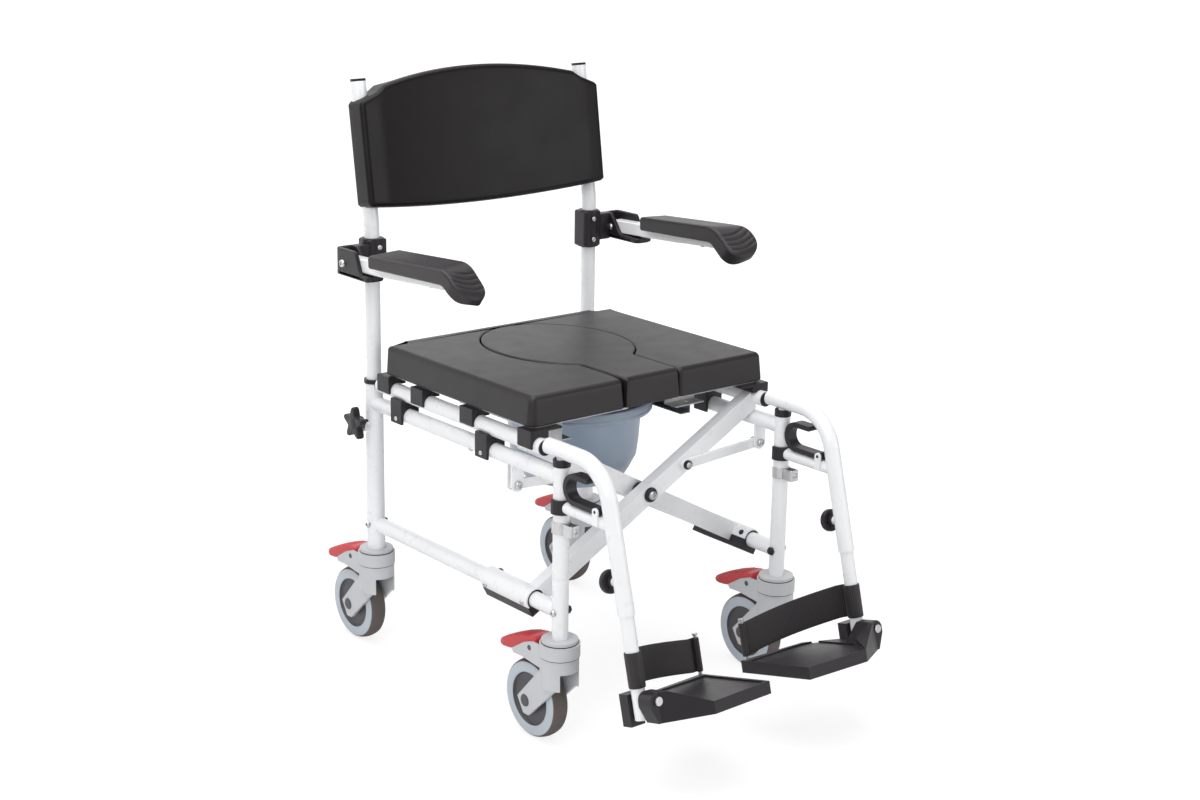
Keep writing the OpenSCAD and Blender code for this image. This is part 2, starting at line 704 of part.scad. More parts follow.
// The armrest rises a little from its pivot to its nose
module arm_frame() translate([0, arm_pivot_y, arm_pivot_z]) rotate([-arm_rise, 0, 0]) translate([0, -arm_pivot_y, -arm_pivot_z]) children();

module arm_bar() color(FRAME_WHITE) {
    arm_frame() extrude_x(arm_x - bar_t / 2, arm_x + bar_t / 2) bar_profile();
    bar_x(arm_x - bar_t / 2 - move_clear - cheek_w - 4, -half_track - post_d / 2 - 5, arm_pivot_y, arm_pivot_z,
        arm_bolt_d - 2 * run_clear);
}

// Side view of the pad: level grip with a drooping, round-ended nose
module pad_profile() {
    nose_y = pad_rear_y - pad_len;
    tip = [nose_y - pad_nose + pad_t / 2, pad_bottom_z - pad_drop + pad_t / 2];
    polygon([
        [pad_rear_y, pad_bottom_z], [pad_rear_y, pad_bottom_z + pad_t], [nose_y, pad_bottom_z + pad_t],
        [tip.x - pad_t * 0.37, tip.y + pad_t * 0.34], tip, [tip.x + pad_t * 0.3, tip.y - pad_t * 0.4],
        [nose_y - pad_nose * 0.5, pad_bottom_z - pad_drop + 3], [nose_y, pad_bottom_z]
    ]);
    translate(tip) circle(d = pad_t);
}

module arm_pad() color(PLASTIC_BLACK) arm_frame() extrude_x(arm_x - pad_w / 2, arm_x + pad_w / 2) pad_profile();

// Seat

// Keyhole: an oval opening whose neck runs out through the front edge, grown or shrunk by d
function keyhole_points(d) = let (
    a = hole_r + d,
    b = hole_half_len + d,
    half = neck_half + d,
    turn = acos(half / a),
    steps = 84
) concat(
    [[half, -seat_d]],
    [for (i = [0 : steps]) let (t = -turn + (180 + 2 * turn) * i / steps) [a * cos(t), b * sin(t)]],
    [[-half, -seat_d]]
);

module keyhole(d) translate([0, hole_y]) polygon(keyhole_points(d));

module seat_outline(inset) {
    w = seat_w - 2 * inset;
    difference() {
        translate([-w / 2, seat_front_y + inset]) round_rect(w, seat_d - 2 * inset, seat_corner_r - inset / 2);
        for (s = [-1, 1]) translate([s * (seat_w / 2 - notch_x / 2 - inset), seat_rear_y - notch_y / 2 - inset])
            square([notch_x, notch_y], center = true);
    }
}

module seat_panel() color(SEAT_BLACK) difference() {
    translate([0, 0, seat_bottom_z]) linear_extrude(seat_t) seat_outline(0);
    translate([0, 0, seat_bottom_z - eps]) linear_extrude(seat_t + 2 * eps) keyhole(0);
    translate([0, 0, seat_bottom_z - eps]) linear_extrude(seat_t - seat_wall + eps) difference() {
        seat_outline(seat_wall);
        keyhole(seat_wall);
    }
}

// Lift-out insert that fills the keyhole, hollow from below
module seat_insert() color(SEAT_BLACK) {
    foot_z = seat_bottom_z + move_clear;
    difference() {
        translate([0, 0, foot_z]) linear_extrude(seat_top_z - foot_z + 1) insert_outline(0);
        translate([0, 0, foot_z - eps]) linear_extrude(seat_top_z - foot_z - seat_wall + eps) insert_outline(seat_wall);
    }
}

module insert_outline(inset) intersection() {
    keyhole(-insert_gap - inset);
    translate([-seat_w, seat_front_y + inset]) square([2 * seat_w, seat_d]);
}

// Clips under the base plate that hook over the seat rails, with a short inner lip and a flange
// that reaches inward under the plate
module seat_clips() color(PLASTIC_BLACK) for (s = [-1, 1], y = clip_ys) seat_clip(s, y);

module seat_clip(s, y) {
    in_r = rail_d / 2 + move_clear;
    out_r = in_r + clip_wall;
    base_z = base_top_z - base_t;
    flange_in = max(half_track - seat_w / 2, 0) + clip_flange;
    extrude_y(y - clip_len / 2, y + clip_len / 2) translate([s * half_track, seat_rail_z]) difference() {
        union() {
            circle(out_r);
            translate([-out_r, 0]) square([2 * out_r, base_z - seat_rail_z]);
            translate([s > 0 ? -flange_in : 0, base_z - seat_rail_z - clip_wall]) square([flange_in, clip_wall]);
        }
        circle(in_r);
        translate([-out_r - eps, -2 * out_r - 4]) square([2 * out_r + 2 * eps, 2 * out_r]);
        translate([s > 0 ? -out_r - eps : 0, -out_r]) square([out_r + eps, out_r + clip_lip]);
    }
}

// Steel base plate under the seat with two hanging channels that hold the pan by its flange
module pan_holder() color(STEEL) {
    base_z = base_top_z - base_t;
    channel_in = pan_rim_r + pan_clear;
    channel_len = 270;
    difference() {
        translate([0, 0, base_z]) linear_extrude(base_t) difference() {
            seat_outline(seat_wall / 2);
            keyhole(-ledge_inset);
        }
    }
    for (s = [-1, 1]) mirror([s > 0 ? 1 : 0, 0, 0]) {
        block(-channel_in - 2, -channel_in, pan_y - channel_len / 2, pan_y + channel_len / 2, pan_ledge_z - 2, base_z);
        block(-channel_in - 2, -pan_body_r - pan_clear, pan_y - channel_len / 2, pan_y + channel_len / 2,
            pan_ledge_z - 2, pan_ledge_z);
    }
    pan_stop(base_z);
}

// Front tab of the holder, bent down and forward at the neck's left, with a hole in its flange
module pan_stop(base_z) {
    tab_y = (brace_front_y + brace_rear_y) / 2;
    tab_x = neck_half + 4;
    difference() {
        union() {
            block(tab_x, tab_x + 60, tab_y + 13, tab_y + 15, base_z - 16, base_z);
            block(tab_x, tab_x + 60, tab_y - 13, tab_y + 15, base_z - 18, base_z - 16);
        }
        translate([tab_x + 34, tab_y, base_z - 20]) cylinder(h = 6, d = tab_hole_d);
    }
}

module pan() color(PAN_BLUE) translate([0, pan_y, pan_ledge_z + move_clear]) rotate_extrude($fn = 96) polygon([
    [0, -pan_depth], [pan_bottom_r, -pan_depth], [pan_bottom_r + pan_turn / 2, 12 - pan_depth],
    [pan_bottom_r + pan_turn, 40 - pan_depth], [pan_body_r, 0], [pan_rim_r - 4, 0], [pan_rim_r, 3],
    [pan_rim_r - 3, pan_rim_h], [pan_body_r - 2, pan_rim_h], [pan_body_r - pan_wall - 1, pan_rim_h - 4],
    [pan_bottom_r + pan_turn - pan_wall, 40 - pan_depth], [pan_bottom_r + pan_turn / 2 - pan_wall, 13 - pan_depth],
    [pan_bottom_r - pan_wall, pan_wall - pan_depth], [0, pan_wall - pan_depth]
]);

// Footrests

module foot_frame() translate([-half_track, foot_y, foot_hinge_z]) rotate([-hanger_lean, 0, 0]) children();

// Distance up the footrest tube from the footplate hinge to where the hanger's bend starts
function tube_to_corner() = (hanger_z - foot_hinge_z) / cos(hanger_lean);
function bend_tangent() = hanger_bend_r * tan((90 - hanger_lean) / 2);

module hanger() color(FRAME_WHITE) {
    corner_y = mid_y + hanger_corner_y;
    bend_start_y = corner_y + bend_tangent();
    bore = rail_d - 2 * tube_wall;
    stub_front = corner_y - (hanger_z - stub_z) * tan(hanger_lean);
    difference() {
        union() {
            bar_y(-half_track, bend_start_y - eps, front_y + hanger_tail, hanger_z, rail_d);
            translate([-half_track, bend_start_y, hanger_z - hanger_bend_r]) rotate([90, 0, -90])
                rotate([0, 0, hanger_lean]) rotate_extrude(angle = 90 - hanger_lean)
                translate([hanger_bend_r, 0]) circle(d = rail_d + 2 * seam);
            foot_frame() translate([0, 0, hanger_end])
                cylinder(h = tube_to_corner() - bend_tangent() - hanger_end + eps, d = rail_d);
            bar_y(-half_track, stub_front, front_y - front_leg_d / 2 - 2, stub_z, stub_d);
            hanger_saddle();
            lever_ears();
            translate([-half_track, front_y, front_leg_top - 46]) cylinder(h = hanger_z - front_leg_top + 46, d = pin_d - 2 * run_clear);
            knob_boss();
        }
        foot_frame() translate([0, 0, hanger_end - eps]) cylinder(h = foot_tube_up - hanger_end + 34 + eps, d = bore);
        translate([-half_track, front_y, stub_z - stub_d]) cylinder(h = 2 * stub_d, d = front_leg_d + 2 * move_clear);
        foot_frame() translate([0, 0, knob_up]) rotate([-90, 0, 0]) cylinder(h = rail_d, d = knob_screw_d);
        bar_x(-half_track - lever_w, -half_track + lever_w, lever_hub.x, lever_hub.y, 5);
    }
}

// Half ring that hugs the front leg
module hanger_saddle() translate([-half_track, front_y, stub_z - 11]) difference() {
    cylinder(h = 22, d = front_leg_d + 9);
    translate([-front_leg_d, 5, -eps]) cube([2 * front_leg_d, front_leg_d, 22 + 2 * eps]);
}

// Ears on the stub that hold the release lever's pin, on a common foot
module lever_ears() {
    ear_in = lever_w / 2 + move_clear;
    ear_out = ear_in + 3;
    for (x = [-ear_out, ear_in]) extrude_x(-half_track + x, -half_track + x + ear_out - ear_in) {
        translate(lever_hub) circle(d = 12);
        translate([lever_hub.x - 6, stub_z]) square([12, lever_hub.y - stub_z]);
    }
    block(-half_track - ear_out, -half_track + ear_out, lever_hub.x - 6, lever_hub.x + 6, stub_z - 4,
        stub_z + stub_d / 2);
}

module knob_boss() foot_frame() translate([0, 0, knob_up]) rotate([-90, 0, 0]) cylinder(h = rail_d / 2 + 4, d = 14);

// Flanged bush in the front leg's top that the hanger's pin turns in
module hanger_bush() color(PLASTIC_BLACK) translate([-half_track, front_y, 0]) difference() {
    union() {
        translate([0, 0, front_leg_top + move_clear])
            cylinder(h = hanger_z - rail_d / 2 - front_leg_top - 2 * move_clear, d = bush_flange_d);
        translate([0, 0, front_leg_top - 50]) cylinder(h = 50 + 2 * move_clear, d = front_bore_d - 2 * run_clear);
    }
    translate([0, 0, front_leg_top - 60]) cylinder(h = 120, d = pin_d);
}

// C-shaped release lever that lies on the stub and curls up in front of the leg
module release_lever() color(PLASTIC_BLACK) {
    low_z = stub_z + stub_d / 2 + 1;
    curl_r = 24;
    curl_y = front_y - front_leg_d / 2 - 2.5 - curl_r;
    curl_z = low_z + curl_r;
    tip_y = lever_hub.x + 26;
    extrude_x(-half_track - lever_w / 2, -half_track + lever_w / 2) {
        translate([lever_hub.x, low_z]) square([curl_y - lever_hub.x, lever_t]);
        translate([tip_y, curl_z + curl_r - lever_t]) square([curl_y - tip_y, lever_t]);
        translate([tip_y, curl_z + curl_r - lever_t / 2]) circle(d = lever_t);
        translate([curl_y, curl_z]) intersection() {
            difference() {
                circle(curl_r);
                circle(curl_r - lever_t);
            }
            translate([0, -curl_r]) square([curl_r, 2 * curl_r]);
        }
        translate(lever_hub) circle(d = 12);
    }
    bar_x(-half_track - lever_w / 2 - 4, -half_track + lever_w / 2 + 4, lever_hub.x, lever_hub.y, 5 - 2 * run_clear);
}

// Sliding tube with the hinge bolt of the footplate and a stop block behind it
module footrest_tube() color(FRAME_WHITE) foot_frame() {
    difference() {
        translate([0, 0, -foot_tube_down]) cylinder(h = foot_tube_up + foot_tube_down, d = foot_tube_d);
        translate([0, 0, 20]) cylinder(h = foot_tube_up, d = foot_tube_d - 2 * tube_wall);
    }
    rotate([90, 0, 0]) translate([0, 0, -foot_tube_d / 2 - 2]) cylinder(h = foot_tube_d / 2 + 2 - hinge_block_front + 1,
        d = foot_bolt_d - 2 * run_clear);
    rotate([90, 0, 0]) translate([0, 0, -hinge_block_front + move_clear]) cylinder(h = 4, d = foot_head_d);
    translate([-13, foot_tube_d / 2, -40]) cube([26, 19, 48]);
}

// Round hand knob behind the hanger that locks the footrest tube
module length_knob() color(PLASTIC_BLACK) foot_frame() translate([0, rail_d / 2 + 4 + move_clear, knob_up]) rotate([-90, 0, 0]) {
    screw_in = (rail_d - foot_tube_d) / 2 + 4;
    cylinder(h = 6, d = 20);
    translate([0, 0, 5]) cylinder(h = 12, d = 36);
    translate([0, 0, -screw_in]) cylinder(h = screw_in + eps, d = knob_screw_d - 2 * run_clear);
}

// Footplate outline in the hinge frame: x inward from the tube, y rearward
module foot_outline() {
    front = -foot_front_local;
    polygon([
        [foot_x_inner, foot_rear], [foot_x_inner + 1, front + 7], [foot_x_inner - 115, front],
        [2, hinge_block_front], [2, hinge_block_rear], [24, hinge_block_rear], [24, 20], [60, foot_rear - 9]
    ]);
}

module footplate() color(PLASTIC_BLACK) foot_frame() {
    pin_top = -foot_drop + heel_pin_len;
    lip = 5;
    difference() {
        union() {
            translate([0, 0, -foot_drop - foot_t]) linear_extrude(foot_t) foot_outline();
            hinge_block();
        }
        translate([0, 0, -foot_drop - foot_recess]) linear_extrude(foot_recess + eps) polygon([
            [foot_x_inner - lip, foot_rear - lip - 8], [foot_x_inner - lip, 12 - foot_front_local],
            [foot_x_inner - 112, lip - foot_front_local], [44, hinge_block_front + 8], [44, foot_rear - 24],
            [66, foot_rear - lip - 10]
        ]);
        rotate([90, 0, 0]) translate([0, 0, -rail_d]) cylinder(h = 4 * rail_d, d = foot_bolt_d);
    }
    translate([heel_pin_pos.x, heel_pin_pos.y, -foot_drop - foot_t / 2]) cylinder(h = foot_t / 2 + heel_pin_len, d = heel_pin_d);
    translate([heel_pin_pos.x, heel_pin_pos.y, pin_top]) cylinder(h = 3, d = heel_pin_d + 3);
}

// Raised knuckle of the footplate that turns on the hinge bolt, with a wedge down to the front corner
// and a pocket in it for the bolt's head
module hinge_block() {
    front = -foot_front_local;
    under = -foot_drop - foot_t;
    corner = foot_x_inner - 115;
    translate([0, hinge_block_rear, 0]) rotate([90, 0, 0]) linear_extrude(hinge_block_rear - hinge_block_front) {
        circle(r = 13);
        polygon([[0, 13], [14, 12], [42, -foot_drop], [42, under], [-2, under], [-13, -8], [-13, 0]]);
    }
    difference() {
        intersection() {
            translate([0, 0, under]) linear_extrude(foot_t + foot_drop + 13) polygon([
                [2, hinge_block_front + eps], [2, hinge_block_front], [corner, front], [46, hinge_block_front + eps]
            ]);
            extrude_y(front - eps, 0) polygon([[0, under], [0, 12], [14, 12], [corner, -foot_drop], [corner, under]]);
        }
        rotate([90, 0, 0]) translate([0, 0, -hinge_block_front]) cylinder(h = rail_d, d = foot_head_d + 3);
    }
}

// Heel strap: webbing that loops round the tube, bows back behind the heel and loops round the pin
function arc_points(c, r, a0, a1, n) = [for (i = [0 : n]) let (a = a0 + (a1 - a0) * i / n) c + r * [cos(a), sin(a)]];
strap_tube_r = foot_tube_d / 2 + 0.2 + strap_t / 2;
strap_pin_r = heel_pin_d / 2 + move_clear + strap_t / 2;
strap_leave = 115;
strap_tube_turn = 330;
strap_meet = 110;
strap_pin_turn = 290;
strap_path = let (
    tube_arc = arc_points([0, 0], strap_tube_r, strap_leave + strap_tube_turn, strap_leave, 22),
    from = strap_tube_r * [cos(strap_leave), sin(strap_leave)],
    to = heel_pin_pos + strap_pin_r * [cos(strap_meet), sin(strap_meet)],
    span = [for (i = [1 : 11]) let (t = i / 12) from * (1 - t) + to * t + [0, strap_bow * sin(180 * t)]],
    pin_arc = arc_points(heel_pin_pos, strap_pin_r, strap_meet, strap_meet - strap_pin_turn, 12)
) concat(tube_arc, span, pin_arc);

// A flat band swept along points in plan; each point's lower edge follows the rise from pin to tube
module strap_band(path) {
    count = len(path);
    low = function(p) strap_low_tube + (strap_low_pin - strap_low_tube) * max(0, min(1, (p.x - strap_tube_r) / (heel_pin_pos.x - 2 * strap_tube_r)));
    side = function(i) let (
        a = path[max(0, i - 1)],
        b = path[min(count - 1, i + 1)],
        d = (b - a) / norm(b - a)
    ) [-d.y, d.x] * strap_t / 2;
    ring = function(i) let (p = path[i], s = side(i), z = low(p)) [
        [p.x + s.x, p.y + s.y, z], [p.x - s.x, p.y - s.y, z],
        [p.x - s.x, p.y - s.y, z + strap_w], [p.x + s.x, p.y + s.y, z + strap_w]
    ];
    points = [for (i = [0 : count - 1]) each ring(i)];
    walls = [for (i = [0 : count - 2], k = [0 : 3]) let (a = 4 * i + k, b = 4 * i + (k + 1) % 4)
        each [[a, a + 4, b + 4], [a, b + 4, b]]];
    last = 4 * (count - 1);
    ends = [[0, 1, 2], [0, 2, 3], [last, last + 2, last + 1], [last, last + 3, last + 2]];
    polyhedron(points, concat(walls, ends));
}

module heel_strap() color(PLASTIC_BLACK) foot_frame() strap_band(strap_path);

// Castors, drawn at the swivel axis with the wheel trailing to +Y

module castor_at(x, y) translate([x, y, 0]) children();

// Side view of a fork cheek
module cheek_profile() polygon([
    [-16, crown_z + 8], [-16, skirt_z], [trail - 9, wheel_r - 22], [trail + 4, wheel_r - 22],
    [trail + 19, wheel_r + 2], [19, skirt_z + 24], [19, crown_z + 8]
]);

// Side view of the lugs that carry the pedal's pin
module lug_profile() polygon([[10, crown_z], [62, 133], [84, 132], [88, 138], [60, 156], [40, 164], [10, 164]]);

module castor_fork(leg_d, stem_d) color(CASTOR_GREY) {
    pedal_half = pedal_w / 2 + move_clear;
    difference() {
        union() {
            translate([0, 0, skirt_z]) cylinder(h = collar_top - collar_h - skirt_z + eps, d = collar_d - 3);
            translate([0, 0, collar_top - collar_h]) cylinder(h = collar_h - 6, d = collar_d);
            translate([0, 0, collar_top - 7]) cylinder(h = 7, d = collar_d - 6);
            for (s = [-1, 1]) {
                extrude_x(s > 0 ? cheek_in : -cheek_in - cheek_t, s > 0 ? cheek_in + cheek_t : -cheek_in) cheek_profile();
                extrude_x(s > 0 ? pedal_half : -pedal_half - lug_t, s > 0 ? pedal_half + lug_t : -pedal_half) lug_profile();
            }
        }
        translate([0, 0, leg_seat_z - move_clear]) cylinder(h = collar_h, d = leg_d + 2 * move_clear);
        block(-cheek_in, cheek_in, -collar_d, 2 * collar_d, 0, crown_z);
    }
    translate([0, 0, leg_seat_z - move_clear - eps]) cylinder(h = stem_len + eps, d = stem_d);
    bar_x(-cheek_in - cheek_t - 1.5, cheek_in + cheek_t + 1.5, trail, wheel_r, axle_d);
    bar_x(-pedal_half - lug_t, pedal_half + lug_t, pedal_pin.x, pedal_pin.y, pedal_pin_d);
}

// Tyre, light ring and dark hub in one turned wheel
module castor_wheel() color(TYRE_GREY) translate([0, trail, wheel_r]) rotate([0, 90, 0]) rotate_extrude() difference() {
    union() {
        translate([axle_d / 2 + run_clear, -wheel_w / 2 + 0.5]) square([wheel_r - 8 - axle_d / 2, wheel_w - 1]);
        translate([wheel_r - 12, -wheel_w / 2 + 2]) square([12 - 3, wheel_w - 4]);
        intersection() {
            translate([wheel_r - 22, 0]) circle(22);
            translate([wheel_r - 12, -wheel_w / 2 + 2]) square([14, wheel_w - 4]);
        }
    }
    for (s = [-1, 1]) translate([wheel_r - 17, s * (wheel_w / 2 - 0.5)]) square([2, 3], center = true);
}

// Red brake pedal that turns on the pin between the fork's lugs
module castor_pedal() color(PEDAL_RED) difference() {
    extrude_x(-pedal_w / 2, pedal_w / 2) polygon([
        [collar_d / 2 + 2, 158], [collar_d / 2 + 5, 170], [70, 166], [pedal_reach - 12, 146], [pedal_reach, 138],
        [pedal_reach - 3, 130], [pedal_reach - 26, 131], [58, 140], [40, 146]
    ]);
    bar_x(-pedal_w, pedal_w, pedal_pin.x, pedal_pin.y, pedal_pin_d + 2 * run_clear);
}

rear_leg();  // rear_leg_right
front_leg();  // front_leg_right
side_rail_right();
lower_rail();  // lower_rail_right
rail_saddles();  // rail_saddles_right
frame_bolts();  // frame_bolts_right
star_knob();  // star_knob_right
on_left() rear_leg();  // rear_leg_left
on_left() front_leg();  // front_leg_left
side_rail_left();
on_left() lower_rail();  // lower_rail_left
on_left() rail_saddles();  // rail_saddles_left
on_left() frame_bolts();  // frame_bolts_left
on_left() star_knob();  // star_knob_left
cross_brace_front();
brace_bearing_front();
brace_pivot();
cross_brace_rear();
brace_bearing_rear();
fold_link_right();
fold_link_left();
back_posts();
backrest_panel();
armrest_clamps();
post_caps();
arm_bar();  // arm_bar_right
arm_pad();  // arm_pad_right
on_left() arm_bar();  // arm_bar_left
on_left() arm_pad();  // arm_pad_left
seat_panel();
seat_clips();
pan_holder();
seat_insert();
pan();
hanger();  // hanger_right
hanger_bush();  // hanger_bush_right
release_lever();  // release_lever_right
footrest_tube();  // footrest_tube_right
length_knob();  // length_knob_right
footplate();  // footplate_right
heel_strap();  // heel_strap_right
on_left() hanger();  // hanger_left
on_left() hanger_bush();  // hanger_bush_left
on_left() release_lever();  // release_lever_left
on_left() footrest_tube();  // footrest_tube_left
on_left() length_knob();  // length_knob_left
on_left() footplate();  // footplate_left
on_left() heel_strap();  // heel_strap_left
castor_at(-half_track, rear_y) castor_fork(rear_leg_d, stem_rear_d);  // castor_fork_rear_right
castor_at(-half_track, rear_y) castor_wheel();  // castor_wheel_rear_right
castor_at(-half_track, rear_y) castor_pedal();  // castor_pedal_rear_right
castor_at(-half_track, front_y) castor_fork(front_leg_d, stem_front_d);  // castor_fork_front_right
castor_at(-half_track, front_y) castor_wheel();  // castor_wheel_front_right
castor_at(-half_track, front_y) castor_pedal();  // castor_pedal_front_right
castor_at(half_track, rear_y) castor_fork(rear_leg_d, stem_rear_d);  // castor_fork_rear_left
castor_at(half_track, rear_y) castor_wheel();  // castor_wheel_rear_left
castor_at(half_track, rear_y) castor_pedal();  // castor_pedal_rear_left
castor_at(half_track, front_y) castor_fork(front_leg_d, stem_front_d);  // castor_fork_front_left
castor_at(half_track, front_y) castor_wheel();  // castor_wheel_front_left
castor_at(half_track, front_y) castor_pedal();  // castor_pedal_front_left
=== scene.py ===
from math import acos, atan2, cos, degrees, hypot, pi, radians, sin, sqrt, tan
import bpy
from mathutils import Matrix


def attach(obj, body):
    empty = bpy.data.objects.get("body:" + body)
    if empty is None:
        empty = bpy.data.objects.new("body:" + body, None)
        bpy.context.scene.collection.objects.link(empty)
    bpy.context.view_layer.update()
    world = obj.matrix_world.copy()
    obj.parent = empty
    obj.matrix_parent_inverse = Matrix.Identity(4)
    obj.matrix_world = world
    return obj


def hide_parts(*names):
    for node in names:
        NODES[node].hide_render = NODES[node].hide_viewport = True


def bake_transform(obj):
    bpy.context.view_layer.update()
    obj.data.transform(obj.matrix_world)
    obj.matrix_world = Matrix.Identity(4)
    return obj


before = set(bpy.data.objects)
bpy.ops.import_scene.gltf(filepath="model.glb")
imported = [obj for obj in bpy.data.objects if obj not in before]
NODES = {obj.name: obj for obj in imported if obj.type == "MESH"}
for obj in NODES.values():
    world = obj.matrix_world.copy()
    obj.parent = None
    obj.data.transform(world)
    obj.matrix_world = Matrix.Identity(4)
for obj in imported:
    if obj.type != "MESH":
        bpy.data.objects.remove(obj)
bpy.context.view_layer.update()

from types import SimpleNamespace

import bmesh
import bpy
from mathutils import Matrix, Vector

# Sizes in millimetres, as in the part's source
MM = 0.001
HALF_TRACK = 225.0
MID_Y = 70.9246
FRONT_Y = MID_Y - 250.0
REAR_Y = MID_Y + 250.0
SIDES = {"right": 1.0, "left": -1.0}
FOOT_Y = MID_Y - 347.0 - (471.0 - 144.0) * tan(radians(15))
FOOT_FRAME = Matrix.Translation((0, FOOT_Y, 144.0)) @ Matrix.Rotation(radians(-15), 4, "X")

HEEL_PIN = (177.0, 69.5)

scene = bpy.context.scene


# Materials

NOISE_ROUGHNESS = 0.55
ROUGH_SPREAD = 0.06
GRAIN_DEPTH = 0.0004
FINE_DEPTH = 0.0003


def srgb(r, g, b):
    """Linear colour from 0-255 display values."""
    def lin(c):
        c /= 255.0
        return c / 12.92 if c <= 0.04045 else ((c + 0.055) / 1.055) ** 2.4
    return (lin(r), lin(g), lin(b), 1.0)


class Graph:
    """A material's node graph with object-space texture coordinates."""

    def __init__(self, name):
        self.mat = bpy.data.materials.new(name)
        self.mat.use_nodes = True
        self.nodes = self.mat.node_tree.nodes
        self.links = self.mat.node_tree.links
        self.shader = self.nodes["Principled BSDF"]
        self.coords = self.nodes.new("ShaderNodeTexCoord")

    def node(self, kind, **values):
        n = self.nodes.new(kind)
        for key, value in values.items():
            if key in n.inputs:
                n.inputs[key].default_value = value
            else:
                setattr(n, key, value)
        return n

    def link(self, a, b):
        self.links.new(a, b)

    def feed(self, socket, source):
        self.link(source, self.shader.inputs[socket])

    def noise(self, scale, detail, stretch=None):
        n = self.node("ShaderNodeTexNoise", Scale=scale, Detail=detail, Roughness=NOISE_ROUGHNESS)
        source = self.coords.outputs["Object"]
        if stretch:
            m = self.node("ShaderNodeMapping", Scale=stretch)
            self.link(source, m.inputs["Vector"])
            source = m.outputs["Vector"]
        self.link(source, n.inputs["Vector"])
        return n.outputs["Fac"]

    def ramp(self, fac, low, high, a, b):
        n = self.node("ShaderNodeValToRGB")
        e = n.color_ramp.elements
        e[0].position, e[1].position = low, high
        e[0].color, e[1].color = a, b
        self.link(fac, n.inputs["Fac"])
        return n.outputs["Color"]

    def remap(self, fac, a, b):
        n = self.node("ShaderNodeMapRange", **{"To Min": a, "To Max": b})
        self.link(fac, n.inputs["Value"])
        return n.outputs["Result"]

    def bump(self, height, strength, distance, after=None):
        n = self.node("ShaderNodeBump", Strength=strength, Distance=distance)
        self.link(height, n.inputs["Height"])
        if after is not None:
            self.link(after, n.inputs["Normal"])
        return n.outputs["Normal"]

    def set(self, **values):
        for key, value in values.items():
            self.shader.inputs[key.replace("_", " ")].default_value = value
        return self


def shade(colour, amount):
    return tuple(min(1.0, c * amount) for c in colour[:3]) + (1.0,)


def grained(name, colour, rough, grain_scale, grain, spread=0.06, mottling=14.0, **sockets):
    """Moulded or coated surface: slow colour drift, uneven gloss and a fine grain."""
    g = Graph(name)
    drift = g.noise(mottling, 4.0)
    g.feed("Base Color", g.ramp(drift, 0.3, 0.7, shade(colour, 1 - spread), shade(colour, 1 + spread)))
    gloss = g.noise(mottling * 4, 3.0)
    g.feed("Roughness", g.remap(gloss, rough - ROUGH_SPREAD, rough + ROUGH_SPREAD))
    g.feed("Normal", g.bump(g.noise(grain_scale, 2.0), grain, GRAIN_DEPTH))
    return g.set(**sockets).mat


def powder_coat():
    """White powder coat: faint orange peel, faint grey scuffs."""
    g = Graph("frame_white_coat")
    base = srgb(241, 242, 244)
    drift = g.noise(9.0, 4.0)
    g.feed("Base Color", g.ramp(drift, 0.25, 0.75, shade(base, 0.975), shade(base, 1.015)))
    g.feed("Roughness", g.remap(g.noise(60.0, 4.0), 0.24, 0.33))
    g.feed("Normal", g.bump(g.noise(700.0, 1.5), 0.05, FINE_DEPTH))
    return g.set(Coat_Weight=0.3, Coat_Roughness=0.12).mat


def brushed_steel(name, tint=0.64, rough=0.3):
    g = Graph(name)
    streak = g.noise(240.0, 3.0, stretch=(1.0, 1.0, 0.08))
    base = (tint, tint, tint * 1.01, 1.0)
    g.feed("Base Color", g.ramp(streak, 0.3, 0.7, shade(base, 0.86), shade(base, 1.08)))
    g.feed("Roughness", g.remap(g.noise(90.0, 4.0), rough - 0.08, rough + 0.1))
    g.feed("Normal", g.bump(streak, 0.05, FINE_DEPTH))
    return g.set(Metallic=1.0).mat


def webbing():
    """Woven strap: cross ribs along its length, fine yarn across, from the strap's own UVs in metres."""
    g = Graph("strap_webbing")

    def wave(way, scale, distortion, detail):
        n = g.node("ShaderNodeTexWave", Scale=scale, Distortion=distortion, Detail=detail, bands_direction=way)
        g.link(g.coords.outputs["UV"], n.inputs["Vector"])
        return n.outputs["Fac"]
    rib, yarn = wave("X", 105.0, 0.5, 1.0), wave("Y", 210.0, 0.8, 2.0)
    g.feed("Base Color", g.ramp(rib, 0.1, 0.9, srgb(32, 29, 31), srgb(50, 46, 49)))
    coarse = g.bump(rib, 0.4, GRAIN_DEPTH)
    g.feed("Normal", g.bump(yarn, 0.3, 0.0002, coarse))
    return g.set(Roughness=0.5, Specular_IOR_Level=0.4, Sheen_Weight=0.08, Sheen_Roughness=0.5).mat


WHITE = powder_coat()
BLACK = grained("charcoal_plastic", srgb(35, 31, 35), 0.42, 900.0, 0.16, Specular_IOR_Level=0.38)
FOAM = grained("moulded_seat_skin", srgb(30, 26, 29), 0.45, 640.0, 0.34, mottling=7.0, Specular_IOR_Level=0.46)
SHELL = grained("moulded_back_skin", srgb(20, 16, 19), 0.38, 760.0, 0.07, spread=0.08, mottling=5.0,
                Specular_IOR_Level=0.22)
RUBBER = grained("armrest_rubber", srgb(40, 36, 39), 0.46, 820.0, 0.2, Specular_IOR_Level=0.42)
CAP = grained("dark_cap", srgb(30, 27, 30), 0.4, 900.0, 0.12, Specular_IOR_Level=0.38)
PAN = grained("pan_polypropylene", srgb(158, 172, 190), 0.36, 420.0, 0.06, spread=0.03, Coat_Weight=0.1)
GREY = grained("castor_polyamide", srgb(198, 200, 203), 0.42, 700.0, 0.12, spread=0.03)
RING = grained("wheel_ring", srgb(188, 197, 206), 0.4, 700.0, 0.08, spread=0.03)
